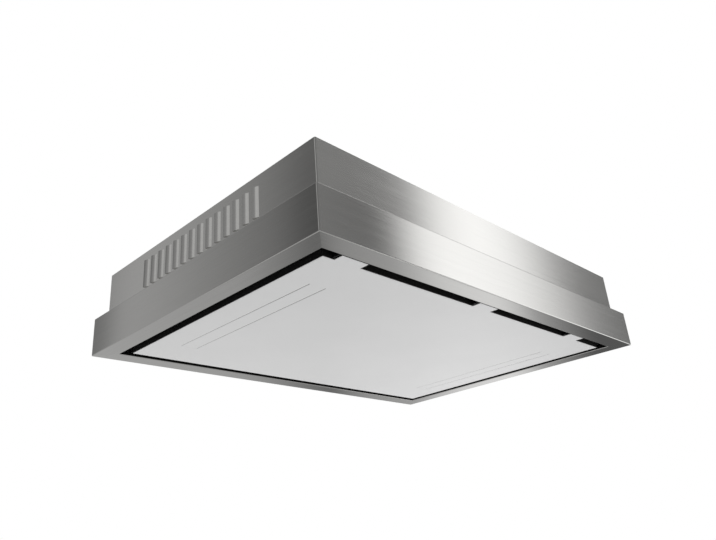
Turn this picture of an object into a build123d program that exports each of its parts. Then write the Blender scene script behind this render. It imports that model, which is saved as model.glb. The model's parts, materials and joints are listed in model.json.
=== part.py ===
from build123d import *
import math
import os

os.makedirs("parts", exist_ok=True)

# Ceiling range hood: a low folded-sheet casing that screws to the ceiling, a wider canopy frame
# under it, and a hinged suction panel that leaves a slot all round for the air. The air passes
# two grease filters and a flat radial blower, and leaves through louvres in one short side.
#
# X runs along the long side, Y along the short side and Z up. The origin is the centre of the
# top plate's upper face, which lies against the ceiling. All sizes are in millimetres.

# ---------------------------------------------------------------- driving dimensions

# Canopy frame and casing, both folded from stainless sheet
canopy_length = 1000.0
canopy_width = 700.0
canopy_height = 80.0
casing_inset = 20.0  # from the canopy's side to the casing's side
casing_height = 97.0
sheet = 1.0
corner_radius = 2.5  # dressed welds at the upright corners
fold_radius = 1.4  # outside of each fold
rim_width = 40.0
rim_return = 25.0  # height of the rim's upturned inner edge
ledge_lap = 18.0  # how far the ledge runs in under the casing
casing_flange = 16.0
mitre_depth = 80.0  # reach of the area that one mitred side is cut from
mitre_margin = 5.0  # by which that area passes the outside
gusset_leg = 90.0
gusset_gap = 2.0  # from the rim's walls
gusset_thickness = 1.5

# Suction panel
slot_gap = 20.0  # air slot between rim and panel
panel_edge = 12.0  # height of the panel's upturned edge
panel_corner = 1.5
edge_notch = 2.0  # depth of the notch in the upturned edge at each tongue
stiffener_length = 620.0
stiffener_width = 30.0
stiffener_height = 10.0
stiffener_spacing = 260.0

# Hinge on the near long side
hinge_left_setback = 52.0  # from the panel's left end to the first tongue's middle
hinge_middle_x = -30.0
hinge_right_setback = 130.0  # from the panel's right end to the last tongue's middle
tongue_width = 56.0
tongue_clearance = 1.5  # from the tongue's end to the rim
hinge_setback = 13.0  # from the rim's edge to the hinge axis
hinge_rise = 5.0  # from the panel's lower face to the hinge axis
pin_radius = 2.0
pin_overhang = 2.0  # past each ear
knuckle_radius = 3.5
knuckle_inset = 2.0  # from the tongue's side to the knuckle's end
ear_thickness = 2.0
ear_gap = 3.0  # from the tongue's side to the bracket's ear
ear_rise = 6.0  # of the bracket over the rim's return
ear_margin = 1.0  # of the ears round the knuckle and over the return
bracket_gap = 2.0  # from the rim's sheet to a bracket's lower edge
leaf_thickness = 1.5
leaf_depth = 35.0  # of the knuckle's foot on the panel

# Magnetic catches on the far long side
catch_spacing = 400.0
catch_width = 40.0
magnet_depth = 14.0
magnet_height = 14.0
strike_height = 12.0
strike_setback = 15.0  # from the panel's far edge to the strike's middle

# Light bars in the panel
light_window_length = 394.0
light_window_width = 37.0
light_setback = 73.5  # from the panel's end to the bar's middle
light_groove = 1.4  # open joint along each diffuser's long sides
light_end_joint = 0.2  # at its short ends
lens_flange = 2.0  # of the diffuser over the window's edge
lens_room = 1.0  # between that flange and the housing
light_housing_height = 16.0
light_wall = 1.5
strip_width = 12.0
strip_thickness = 1.6
chip_count = 24
chip_size = 4.0
chip_height = 0.8

# Top plate and ceiling fixing
top_thickness = 1.2
fit_clearance = 0.2
rail_setback = 80.0  # from the casing's side to a rail's middle
bolt_spacing_y = 400.0  # along a rail
bolt_hole_radius = 4.5
rail_width = 30.0
rail_height = 10.0
rail_thickness = 1.5
rail_length = 520.0

# Louvres in the short side
louvre_count = 14
louvre_pitch = 27.2
louvre_width = 13.0
louvre_height = 58.0
louvre_rise = 4.5
louvre_lip = 3.0  # of each blade still lying in the wall
louvre_crown_rise = 0.72  # share of the rise that the crown has reached
louvre_crown_place = 0.55  # share of the width at which the crown lies
louvre_middle_y = -5.0
louvre_middle_z = -50.0

# Filter plate and grease filters
filter_opening_length = 270.0
filter_opening_width = 340.0
filter_spacing = 480.0
filter_lap = 8.0
filter_height = 9.0
filter_rail = 14.0
filter_corner = 4.0
mesh_thickness = 4.0
mesh_lip = 5.0
mesh_bar = 2.4
mesh_columns = 12
mesh_rows = 14
hook_thickness = 2.0
hook_width = 20.0
hook_spacing = 200.0
latch_pad_depth = 28.0
latch_pad_width = 44.0
latch_slot_width = 20.0
latch_slot_play = 1.0  # left in the slot at the end of the travel
latch_stem_depth = 12.0
latch_reach = 5.0  # of the nose over the filter plate
latch_travel = 7.0
latch_thickness = 2.5
latch_thumb_inset = 4.0  # from the pad's ends to the thumb plate's
latch_thumb_lap = 2.0  # of the thumb plate past the stem, towards the edge
latch_thumb_lip = 1.0  # of the thumb plate past the stem's other face
latch_grip_depth = 2.5
latch_grip_height = 6.25
running_gap = 0.3

# Blower
fan_x = 70.0
fan_y = -110.0
impeller_radius = 95.0
impeller_eye = 64.5
impeller_bottom = -60.0
impeller_top = -16.0
impeller_sheet = 2.0
blade_count = 11
blade_root = 62.0
blade_lean = 38.0  # degrees by which the tip trails the root
blade_bow_x = 3.0  # of the blade's middle off its chord
blade_bow_y = 4.0
blade_tip_inset = 1.0
volute_radius = 118.0
volute_step = 16.0
volute_outlet = 135.0  # from the fan's axis to the outlet's mouth
cutoff_x = -86.0
cutoff_y = 62.0
cutoff_bulge_x = 5.0  # of the rounded cut-off, past the chord's middle
cutoff_bulge_y = 2.0
blower_top = -9.2
blower_height = 60.0
blower_sheet = 1.2
throat_radius = 62.0
bell_radius = 12.0
bell_flange = 10.0
bell_sheet = 1.0
isolator_radius = 7.0
isolator_waist = 5.0
isolator_circle = 88.0

# Motor, with its rotor outside its stator
stator_radius = 38.0
stator_height = 28.0
stator_slots = 12
stator_slot_length = 13.0
stator_slot_width = 4.0
stator_slot_inset = 6.0  # from the stator's rim to the slot's middle
stator_flange_radius = 60.0
stator_flange = 2.0
bearing_outer = 8.0
bearing_length = 6.0
shaft_radius = 4.0
shaft_clearance = 0.05
shaft_chamfer = 0.6
collar_step = 3.0  # of the collar under the rotor past the shaft
collar_height = 1.5
rotor_radius = 47.0
rotor_wall = 3.0
rotor_bottom = -46.0
rotor_flange_radius = 58.0
rotor_flange = 1.2
motor_screw_circle = 52.0
motor_screw_radius = 2.0
motor_screw_head = 2.0

# Outlet duct and carbon filter
duct_width = 380.0
duct_height = 70.0
duct_sheet = 1.0
duct_lip = 8.0
gasket_thickness = 2.0
carbon_depth = 20.0
carbon_wall = 3.0
carbon_bars = 5

# Electrics
box_setback = 195.0  # from the casing's plain side to the control box's middle
box_y = 120.0
box_length = 160.0
box_width = 120.0
box_height = 42.0
box_wall = 2.0
box_corner = 4.0
box_inner_corner = 2.0
lid_thickness = 2.0
lid_lip = 3.7
gland_offset = 55.0
gland_radius = 9.8
gland_bore = 5.0
gland_nut_radius = 13.0
gland_nut = 6.0
gland_length = 18.0
board_length = 90.0
board_width = 100.0
board_offset = 25.0
board_thickness = 1.6
standoff_height = 6.0
standoff_radius = 3.0
standoff_inset = 5.0  # from the board's edges
transformer_size = (32.0, 36.0, 18.0)
transformer_place = (-18.0, 20.0)  # on the board, from its middle
relay_size = (24.0, 14.0, 12.0)
relay_place = (18.0, 24.0)
relay_spacing = 20.0
reservoir_radius = 6.0
reservoir_height = 16.0
reservoir_place = (10.0, -26.0)
reservoir_spacing = 22.0
capacitor_radius = 13.0
capacitor_length = 40.0
capacitor_edge = 1.5
capacitor_gap = 1.5  # from the box's ceiling
capacitor_setback = 1.0  # from the box's wall
saddle_width = 16.0
saddle_length = 24.0
saddle_height = 4.0
terminal_length = 16.0
terminal_width = 30.0
terminal_height = 14.0
terminal_gap = 3.0  # from the gland's nut
terminal_poles = 3
terminal_hole_radius = 2.2
terminal_hole_depth = 4.0
driver_y = -60.0
driver_length = 120.0
driver_width = 36.0
driver_height = 26.0
driver_corner = 3.0
driver_edge = 1.5
driver_foot_reach = 12.0
driver_foot_width = 14.0
driver_foot_thickness = 2.0
driver_foot_hole_radius = 2.0
lead_radius = 2.5
lead_gap = 1.0  # from the top plate
lead_setback = 40.0  # from the control box's middle, towards the hinge side
lead_bend_share = 0.45  # of the shorter run
connector_length = 22.0
connector_width = 14.0
connector_gap = 0.5  # from the top plate
connector_offset_x = 36.0  # from the fan's axis
connector_offset_y = 74.0
clip_thickness = 1.0
clip_width = 8.0
clip_foot = 6.0
clip_box_gap = 18.0  # from the control box to the first clip
clip_bend_gap = 8.0  # from the bend to the second clip

# Fasteners
rivet_radius = 2.0
rivet_head_radius = 4.0
rivet_tail_radius = 3.0
rivet_head = 1.2
rivet_hole_clearance = 0.1
long_side_rivet_count = 7
short_side_rivet_count = 5
screw_radius = 1.6
screw_head_radius = 3.4
screw_length = 7.0
long_side_screw_count = 5
short_side_screw_count = 3

# ---------------------------------------------------------------- places that follow from them

casing_length = canopy_length - 2 * casing_inset
casing_width = canopy_width - 2 * casing_inset
step_z = -casing_height
bottom_z = -(casing_height + canopy_height)
opening_length = canopy_length - 2 * rim_width
opening_width = canopy_width - 2 * rim_width
panel_length = opening_length - 2 * slot_gap
panel_width = opening_width - 2 * slot_gap
panel_top = bottom_z + sheet  # upper face of the panel's sheet
hinge_y = -(opening_width / 2 - hinge_setback)
hinge_z = bottom_z + hinge_rise
hinge_places = (
    hinge_left_setback - panel_length / 2,
    hinge_middle_x,
    panel_length / 2 - hinge_right_setback,
)
tongue_end = -(opening_width / 2 - tongue_clearance)
light_spacing = panel_length - 2 * light_setback
return_top = bottom_z + rim_return
plate_top = step_z - sheet  # filter plate's upper face, under the ledge
plate_bottom = plate_top - sheet
top_underside = -top_thickness
flange_top = top_underside  # casing's upper flange, under the top plate
rivet_inset = casing_inset + casing_flange / 2 + sheet / 2
rivet_span_x = canopy_length - 2 * rivet_inset
rivet_span_y = canopy_width - 2 * rivet_inset
screw_span_x = casing_length - casing_flange - sheet
screw_span_y = casing_width - casing_flange - sheet
bolt_spacing_x = casing_length - 2 * rail_setback
blower_underside = blower_top - blower_height
scroll_top = blower_top - blower_sheet
scroll_bottom = blower_underside + blower_sheet
louvre_wall = -casing_length / 2  # outer face of the louvred side
gasket_x = louvre_wall + sheet
carbon_x = gasket_x + gasket_thickness
duct_end = carbon_x + carbon_depth
duct_start = fan_x - volute_outlet
box_x = casing_length / 2 - box_setback
gland_x = box_x + gland_offset
latch_slot_depth = latch_stem_depth + latch_travel + latch_slot_play

SIDES = ("front", "rear", "left", "right")


# ---------------------------------------------------------------- shared helpers


def block(low, high, mode=Mode.ADD):
    """Add a box between two opposite corners to the part in hand."""
    middle = tuple((a + b) / 2 for a, b in zip(low, high))
    size = [abs(b - a) for a, b in zip(low, high)]
    with Locations(middle):
        Box(*size, mode=mode)


def mitre_outline(length, width, side):
    """Plan corners of the area that holds one side of a mitred frame."""
    out_x = length / 2 + mitre_margin
    out_y = width / 2 + mitre_margin
    in_x = length / 2 - mitre_depth
    in_y = width / 2 - mitre_depth
    if side in ("front", "rear"):
        way = -1 if side == "front" else 1
        return [(-out_x, way * out_y), (out_x, way * out_y), (in_x, way * in_y), (-in_x, way * in_y)]
    way = -1 if side == "left" else 1
    return [(way * out_x, -out_y), (way * out_x, out_y), (way * in_x, in_y), (way * in_x, -in_y)]


def frame_points(span_x, span_y, long_count, short_count):
    """Points spread along a rectangle: long sides first, then the short sides between them."""
    points = []
    for i in range(long_count):
        x = span_x * (i / (long_count - 1) - 0.5) * (1 - 0.5 / long_count)
        points += [(x, -span_y / 2), (x, span_y / 2)]
    for i in range(short_count):
        y = span_y * ((i + 1) / (short_count + 1) - 0.5)
        points += [(-span_x / 2, y), (span_x / 2, y)]
    return points


def fan_plane(height):
    """Level plane with its origin on the fan's axis."""
    return Plane((fan_x, fan_y, height))


rivet_points = frame_points(rivet_span_x, rivet_span_y, long_side_rivet_count, short_side_rivet_count)
screw_points = frame_points(screw_span_x, screw_span_y, long_side_screw_count, short_side_screw_count)
rivet_hole = rivet_radius + rivet_hole_clearance

# ---------------------------------------------------------------- canopy frame

# The whole welded frame first: outer wall, ledge on top, flat rim below with its upturned edge.
with BuildPart() as canopy_shell:
    with BuildSketch(Plane.XY.offset(bottom_z)):
        RectangleRounded(canopy_length, canopy_width, corner_radius)
    extrude(amount=canopy_height)
    fillet(canopy_shell.faces().sort_by(Axis.Z)[0].edges(), fold_radius)
    fillet(canopy_shell.faces().sort_by(Axis.Z)[-1].edges(), fold_radius)
    with BuildSketch(Plane.XY.offset(bottom_z + sheet)):
        Rectangle(canopy_length - 2 * sheet, canopy_width - 2 * sheet)
    extrude(amount=canopy_height - 2 * sheet, mode=Mode.SUBTRACT)
    with BuildSketch(Plane.XY.offset(bottom_z)):
        Rectangle(opening_length, opening_width)
    extrude(amount=2 * sheet, mode=Mode.SUBTRACT)
    with BuildSketch(Plane.XY.offset(bottom_z)):
        Rectangle(opening_length + 2 * sheet, opening_width + 2 * sheet)
        Rectangle(opening_length, opening_width, mode=Mode.SUBTRACT)
    extrude(amount=rim_return)
    fillet(canopy_shell.faces().sort_by(Axis.Z)[0].inner_wires().edges(), fold_radius)
    with BuildSketch(Plane.XY.offset(plate_top)):
        Rectangle(casing_length - 2 * ledge_lap, casing_width - 2 * ledge_lap)
        with Locations(*rivet_points):
            Circle(rivet_hole)
    extrude(amount=2 * sheet, mode=Mode.SUBTRACT)

for side in SIDES:
    with BuildPart() as canopy_side:
        add(canopy_shell.part)
        with BuildSketch(Plane.XY.offset(bottom_z)):
            Polygon(*mitre_outline(canopy_length, canopy_width, side), align=None)
        extrude(amount=canopy_height, mode=Mode.INTERSECT)
    canopy_side.part.label = f"canopy_{side}"
    export_step(canopy_side.part, f"parts/canopy_{side}.step")

# Flat angles that stiffen the rim's four corners, lying on the rim inside the channel.
gusset_width = rim_width - 2 * sheet - 2 * gusset_gap
gusset_top = panel_top + gusset_thickness
with BuildPart() as corner_gussets:
    for way_x in (-1, 1):
        for way_y in (-1, 1):
            corner_x = way_x * (canopy_length / 2 - sheet - gusset_gap)
            corner_y = way_y * (canopy_width / 2 - sheet - gusset_gap)
            for leg_x, leg_y in ((gusset_leg, gusset_width), (gusset_width, gusset_leg)):
                block(
                    (corner_x, corner_y, panel_top),
                    (corner_x - way_x * leg_x, corner_y - way_y * leg_y, gusset_top),
                )
corner_gussets.part.label = "corner_gussets"
export_step(corner_gussets.part, "parts/corner_gussets.step")

# ---------------------------------------------------------------- casing

# The whole casing first: four walls, an inward flange below on the ledge, and one above that
# carries the top plate flush with the walls' upper edges.
with BuildPart() as casing_shell:
    with BuildSketch(Plane.XY.offset(step_z)):
        RectangleRounded(casing_length, casing_width, corner_radius)
    extrude(amount=casing_height)
    with BuildSketch(Plane.XY.offset(step_z + sheet)):
        Rectangle(casing_length - 2 * sheet, casing_width - 2 * sheet)
    extrude(amount=casing_height - 2 * sheet - top_thickness, mode=Mode.SUBTRACT)
    with BuildSketch(Plane.XY.offset(top_underside)):
        Rectangle(casing_length - 2 * sheet, casing_width - 2 * sheet)
    extrude(amount=top_thickness, mode=Mode.SUBTRACT)
    with BuildSketch(Plane.XY.offset(step_z)):
        Rectangle(casing_length - 2 * casing_flange, casing_width - 2 * casing_flange)
    extrude(amount=casing_height, mode=Mode.SUBTRACT)
    with BuildSketch(Plane.XY.offset(step_z)):
        with Locations(*rivet_points):
            Circle(rivet_hole)
    extrude(amount=sheet, mode=Mode.SUBTRACT)
    with BuildSketch(Plane.XY.offset(flange_top - sheet)):
        with Locations(*screw_points):
            Circle(screw_radius)
    extrude(amount=sheet, mode=Mode.SUBTRACT)

casing_names = {
    "front": "casing_front",
    "rear": "casing_rear",
    "left": "casing_louvred_side",
    "right": "casing_plain_side",
}
louvre_low = louvre_middle_z - louvre_height / 2
louvre_first = louvre_middle_y - (louvre_count - 1) / 2 * louvre_pitch - louvre_width / 2
louvre_starts = [louvre_first + i * louvre_pitch for i in range(louvre_count)]


def louvre_section(start_y, lip, skin):
    """Plan of one pressed blade: flush with the wall at its near edge, raised and open at its far edge."""
    inner = louvre_wall + sheet
    end_y = start_y + louvre_width
    root = (louvre_wall + skin, start_y + lip)
    crown = (
        louvre_wall - louvre_rise * louvre_crown_rise + skin,
        start_y + louvre_width * louvre_crown_place,
    )
    tip = (louvre_wall - louvre_rise + skin, end_y)
    with BuildSketch(Plane.XY) as section:
        with BuildLine():
            ThreePointArc(root, crown, tip)
            Polyline(tip, (inner, end_y), (inner, start_y + lip))
            if skin < sheet:
                Line((inner, start_y + lip), root)
        make_face()
    return section.sketch


for side in SIDES:
    with BuildPart() as casing_side:
        add(casing_shell.part)
        with BuildSketch(Plane.XY.offset(step_z)):
            Polygon(*mitre_outline(casing_length, casing_width, side), align=None)
        extrude(amount=casing_height, mode=Mode.INTERSECT)
        if side == "left":
            with BuildSketch(Plane.XY.offset(louvre_low)):
                for start in louvre_starts:
                    add(louvre_section(start, 0, 0))
            extrude(amount=louvre_height)
            with BuildSketch(Plane.XY.offset(louvre_low + sheet)):
                for start in louvre_starts:
                    add(louvre_section(start, louvre_lip, sheet))
            extrude(amount=louvre_height - 2 * sheet, mode=Mode.SUBTRACT)
    casing_side.part.label = casing_names[side]
    export_step(casing_side.part, f"parts/{casing_names[side]}.step")

# ---------------------------------------------------------------- top plate and its rails

with BuildPart() as top_plate:
    with BuildSketch(Plane.XY.offset(top_underside)):
        Rectangle(
            casing_length - 2 * (sheet + fit_clearance),
            casing_width - 2 * (sheet + fit_clearance),
        )
        with GridLocations(bolt_spacing_x, bolt_spacing_y, 2, 2):
            Circle(bolt_hole_radius, mode=Mode.SUBTRACT)
        with Locations((gland_x, box_y)):
            Circle(gland_radius + fit_clearance, mode=Mode.SUBTRACT)
    extrude(amount=top_thickness)
    with Locations(*[(x, y, 0) for x, y in screw_points]):
        CounterSinkHole(
            radius=screw_radius + rivet_hole_clearance,
            counter_sink_radius=screw_head_radius + rivet_hole_clearance,
            depth=top_thickness,
        )
top_plate.part.label = "top_plate"
export_step(top_plate.part, "parts/top_plate.step")

with BuildPart() as top_plate_screws:
    for x, y in screw_points:
        with BuildSketch(Plane((x, y, top_underside - sheet - screw_length))):
            Circle(screw_radius - shaft_clearance)
        extrude(amount=screw_length + sheet)
        with BuildSketch(Plane((x, y, top_underside))):
            Circle(screw_radius)
        with BuildSketch(Plane((x, y, 0))):
            Circle(screw_head_radius)
        loft()
top_plate_screws.part.label = "top_plate_screws"
export_step(top_plate_screws.part, "parts/top_plate_screws.step")

with BuildPart() as mounting_rails:
    for rail_x in (-bolt_spacing_x / 2, bolt_spacing_x / 2):
        with BuildSketch(Plane.XZ.offset(-rail_length / 2)):
            with Locations((rail_x, top_underside - rail_height / 2)):
                Rectangle(rail_width, rail_height)
            with Locations((rail_x, top_underside - rail_thickness - rail_height / 2)):
                Rectangle(rail_width - 2 * rail_thickness, rail_height, mode=Mode.SUBTRACT)
        extrude(amount=rail_length)
    with BuildSketch(Plane.XY.offset(top_underside - rail_thickness)):
        with GridLocations(bolt_spacing_x, bolt_spacing_y, 2, 2):
            Circle(bolt_hole_radius)
    extrude(amount=rail_thickness, mode=Mode.SUBTRACT)
mounting_rails.part.label = "mounting_rails"
export_step(mounting_rails.part, "parts/mounting_rails.step")

# ---------------------------------------------------------------- filter plate

with BuildPart() as filter_plate:
    with BuildSketch(Plane.XY.offset(plate_bottom)):
        Rectangle(casing_length, casing_width)
        with GridLocations(filter_spacing, 0, 2, 1):
            Rectangle(filter_opening_length, filter_opening_width, mode=Mode.SUBTRACT)
        with Locations(*rivet_points):
            Circle(rivet_hole, mode=Mode.SUBTRACT)
    extrude(amount=sheet)
filter_plate.part.label = "filter_plate"
export_step(filter_plate.part, "parts/filter_plate.step")

# Each rivet closes three sheets: filter plate, ledge and the casing's lower flange.
with BuildPart() as frame_rivets:
    grip = 3 * sheet
    for x, y in rivet_points:
        with BuildSketch(Plane((x, y, plate_bottom))):
            Circle(rivet_radius)
        extrude(amount=grip)
        with BuildSketch(Plane((x, y, plate_bottom - rivet_head))):
            Circle(rivet_head_radius)
        extrude(amount=rivet_head)
        with BuildSketch(Plane((x, y, plate_bottom + grip))):
            Circle(rivet_tail_radius)
        extrude(amount=rivet_head)
frame_rivets.part.label = "frame_rivets"
export_step(frame_rivets.part, "parts/frame_rivets.step")

# ---------------------------------------------------------------- grease filters

frame_length = filter_opening_length + 2 * filter_lap
frame_width = filter_opening_width + 2 * filter_lap
frame_bottom = plate_bottom - filter_height
inner_length = frame_length - 2 * filter_rail
inner_width = frame_width - 2 * filter_rail
mesh_bottom = frame_bottom + sheet
nose_bottom = plate_top + running_gap

for way, hand in ((-1, "left"), (1, "right")):
    middle_x = way * filter_spacing / 2
    # The hooks are on the outer side and the latch on the side towards the middle of the hood.
    outer_edge = middle_x + way * filter_opening_length / 2
    inner_edge = middle_x - way * filter_opening_length / 2
    pad_start = inner_edge - way * (filter_lap - filter_rail)
    slot_start = inner_edge + way * filter_lap

    with BuildPart() as filter_frame:
        with BuildSketch(Plane((middle_x, 0, frame_bottom))):
            RectangleRounded(frame_length, frame_width, filter_corner)
            Rectangle(inner_length, inner_width, mode=Mode.SUBTRACT)
        extrude(amount=filter_height)
        with BuildSketch(Plane((middle_x, 0, frame_bottom))):
            Rectangle(inner_length, inner_width)
            Rectangle(inner_length - 2 * mesh_lip, inner_width - 2 * mesh_lip, mode=Mode.SUBTRACT)
        extrude(amount=sheet)
        block(
            (pad_start, -latch_pad_width / 2, frame_bottom),
            (pad_start + way * latch_pad_depth, latch_pad_width / 2, plate_bottom),
        )
        block(
            (slot_start, -latch_slot_width / 2, frame_bottom),
            (slot_start + way * latch_slot_depth, latch_slot_width / 2, plate_bottom),
            mode=Mode.SUBTRACT,
        )
        for hook_y in (-hook_spacing / 2, hook_spacing / 2):
            riser = outer_edge - way * running_gap
            block(
                (riser, hook_y - hook_width / 2, plate_bottom),
                (riser - way * hook_thickness, hook_y + hook_width / 2, nose_bottom + hook_thickness),
            )
            block(
                (riser, hook_y - hook_width / 2, nose_bottom),
                (riser + way * latch_reach, hook_y + hook_width / 2, nose_bottom + hook_thickness),
            )
    filter_frame.part.label = f"filter_frame_{hand}"
    export_step(filter_frame.part, f"parts/filter_frame_{hand}.step")

    # Expanded aluminium: one sheet of diamonds, kept clear of the latch's pad.
    cell_x = (inner_length - 2 * mesh_lip) / mesh_columns
    cell_y = (inner_width - 2 * mesh_lip) / mesh_rows
    with BuildPart() as filter_mesh:
        with BuildSketch(Plane((middle_x, 0, mesh_bottom))):
            Rectangle(inner_length - 2 * fit_clearance, inner_width - 2 * fit_clearance)
            with GridLocations(cell_x, cell_y, mesh_columns, mesh_rows):
                Rectangle(cell_x - mesh_bar, cell_y - mesh_bar, mode=Mode.SUBTRACT)
            with Locations((way * (latch_pad_depth / 2 - inner_length / 2 - mesh_lip), 0)):
                Rectangle(
                    latch_pad_depth + 2 * mesh_lip + 2 * fit_clearance,
                    latch_pad_width + 2 * fit_clearance,
                    mode=Mode.SUBTRACT,
                )
        extrude(amount=mesh_thickness)
    filter_mesh.part.label = f"filter_mesh_{hand}"
    export_step(filter_mesh.part, f"parts/filter_mesh_{hand}.step")

    # Sliding latch: thumb plate below the frame, stem through its slot, nose over the plate.
    stem_start = slot_start + way * fit_clearance
    stem_end = stem_start + way * latch_stem_depth
    stem_half = latch_slot_width / 2 - fit_clearance
    thumb_start = stem_start - way * latch_thumb_lap
    thumb_half = latch_pad_width / 2 - latch_thumb_inset
    thumb_top = frame_bottom - running_gap
    with BuildPart() as filter_latch:
        block(
            (stem_start, -stem_half, thumb_top),
            (stem_end, stem_half, nose_bottom + latch_thickness),
        )
        block(
            (inner_edge - way * latch_reach, -stem_half, nose_bottom),
            (stem_start, stem_half, nose_bottom + latch_thickness),
        )
        block(
            (thumb_start, -thumb_half, thumb_top - latch_thickness),
            (stem_end + way * latch_thumb_lip, thumb_half, thumb_top),
        )
        block(
            (thumb_start, -thumb_half, thumb_top - latch_grip_height),
            (thumb_start + way * latch_grip_depth, thumb_half, thumb_top),
        )
    filter_latch.part.label = f"filter_latch_{hand}"
    export_step(filter_latch.part, f"parts/filter_latch_{hand}.step")

# ---------------------------------------------------------------- suction panel

light_places = [(-light_spacing / 2, 0), (light_spacing / 2, 0)]

with BuildPart() as suction_panel:
    with BuildSketch(Plane.XY.offset(bottom_z)):
        RectangleRounded(panel_length, panel_width, panel_corner)
    extrude(amount=panel_edge)
    with BuildSketch(Plane.XY.offset(panel_top)):
        Rectangle(panel_length - 2 * sheet, panel_width - 2 * sheet)
        for hinge_x in hinge_places:
            with Locations((hinge_x, -panel_width / 2)):
                Rectangle(tongue_width, 2 * edge_notch)
    extrude(amount=panel_edge, mode=Mode.SUBTRACT)
    with BuildSketch(Plane.XY.offset(bottom_z)):
        for hinge_x in hinge_places:
            with Locations((hinge_x, (tongue_end - panel_width / 2 + panel_corner) / 2)):
                Rectangle(tongue_width, -tongue_end - panel_width / 2 + panel_corner)
    extrude(amount=sheet)
    with BuildSketch(Plane.XY.offset(bottom_z)):
        with Locations(*light_places):
            Rectangle(light_window_width, light_window_length)
    extrude(amount=sheet, mode=Mode.SUBTRACT)
suction_panel.part.label = "suction_panel"
export_step(suction_panel.part, "parts/suction_panel.step")

# Two channels, open side down, along the panel's upper face.
with BuildPart() as panel_stiffeners:
    for stiffener_y in (-stiffener_spacing / 2, stiffener_spacing / 2):
        with BuildSketch(Plane.YZ.offset(-stiffener_length / 2)):
            with Locations((stiffener_y, panel_top + stiffener_height / 2)):
                Rectangle(stiffener_width, stiffener_height)
            with Locations((stiffener_y, panel_top + stiffener_height / 2 - sheet)):
                Rectangle(stiffener_width - 2 * sheet, stiffener_height, mode=Mode.SUBTRACT)
        extrude(amount=stiffener_length)
panel_stiffeners.part.label = "panel_stiffeners"
export_step(panel_stiffeners.part, "parts/panel_stiffeners.step")

# ---------------------------------------------------------------- panel hinge

with BuildPart() as hinge_knuckles:
    for hinge_x in hinge_places:
        half = tongue_width / 2 - knuckle_inset
        with BuildSketch(Plane.YZ.offset(hinge_x - half)):
            with Locations((hinge_y, hinge_z)):
                Circle(knuckle_radius)
            with Locations((hinge_y + leaf_depth / 2, panel_top + leaf_thickness / 2)):
                Rectangle(leaf_depth, leaf_thickness)
            with Locations((hinge_y, hinge_z)):
                Circle(pin_radius + shaft_clearance, mode=Mode.SUBTRACT)
        extrude(amount=2 * half)
hinge_knuckles.part.label = "hinge_knuckles"
export_step(hinge_knuckles.part, "parts/hinge_knuckles.step")

ear_offset = tongue_width / 2 + ear_gap
pin_half = ear_offset + ear_thickness + pin_overhang
with BuildPart() as hinge_pins:
    for hinge_x in hinge_places:
        with BuildSketch(Plane.YZ.offset(hinge_x - pin_half)):
            with Locations((hinge_y, hinge_z)):
                Circle(pin_radius)
        extrude(amount=2 * pin_half)
hinge_pins.part.label = "hinge_pins"
export_step(hinge_pins.part, "parts/hinge_pins.step")

# Each bracket's plate lies against the channel side of the rim's return, and its two ears reach
# over the return and down to the pin.
return_outer = -(opening_width / 2 + sheet)
ear_top = return_top + ear_rise
ear_front = hinge_y + knuckle_radius + ear_margin
with BuildPart() as hinge_brackets:
    for hinge_x in hinge_places:
        half = ear_offset + ear_thickness
        block(
            (hinge_x - half, return_outer - leaf_thickness, panel_top + bracket_gap),
            (hinge_x + half, return_outer, ear_top),
        )
        for ear_x in (hinge_x - half, hinge_x + ear_offset):
            block(
                (ear_x, return_outer, return_top + ear_margin),
                (ear_x + ear_thickness, ear_front, ear_top),
            )
            block(
                (ear_x, -(opening_width / 2 - ear_margin), hinge_z - knuckle_radius),
                (ear_x + ear_thickness, ear_front, ear_top),
            )
    for hinge_x in hinge_places:
        with BuildSketch(Plane.YZ.offset(hinge_x - ear_offset - 2 * ear_thickness)):
            with Locations((hinge_y, hinge_z)):
                Circle(pin_radius + shaft_clearance)
        extrude(amount=2 * (ear_offset + 2 * ear_thickness), mode=Mode.SUBTRACT)
hinge_brackets.part.label = "hinge_brackets"
export_step(hinge_brackets.part, "parts/hinge_brackets.step")

# ---------------------------------------------------------------- magnetic catches

catch_places = (-catch_spacing / 2, catch_spacing / 2)
strike_y = panel_width / 2 - strike_setback
strike_top = panel_top + strike_height
magnet_bottom = strike_top + running_gap
magnet_top = magnet_bottom + magnet_height

with BuildPart() as strike_plates:
    for catch_x in catch_places:
        block(
            (catch_x - catch_width / 2, strike_y - magnet_depth / 2, panel_top),
            (catch_x + catch_width / 2, strike_y + magnet_depth / 2, panel_top + leaf_thickness),
        )
        block(
            (catch_x - catch_width / 2, strike_y - leaf_thickness, panel_top),
            (catch_x + catch_width / 2, strike_y + leaf_thickness, strike_top),
        )
        block(
            (catch_x - catch_width / 2, strike_y - magnet_depth / 2, strike_top - leaf_thickness),
            (catch_x + catch_width / 2, strike_y + magnet_depth / 2, strike_top),
        )
strike_plates.part.label = "strike_plates"
export_step(strike_plates.part, "parts/strike_plates.step")

with BuildPart() as catch_magnets:
    for catch_x in catch_places:
        block(
            (catch_x - catch_width / 2, strike_y - magnet_depth / 2, magnet_bottom),
            (catch_x + catch_width / 2, strike_y + magnet_depth / 2, magnet_top),
        )
catch_magnets.part.label = "catch_magnets"
export_step(catch_magnets.part, "parts/catch_magnets.step")

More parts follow.
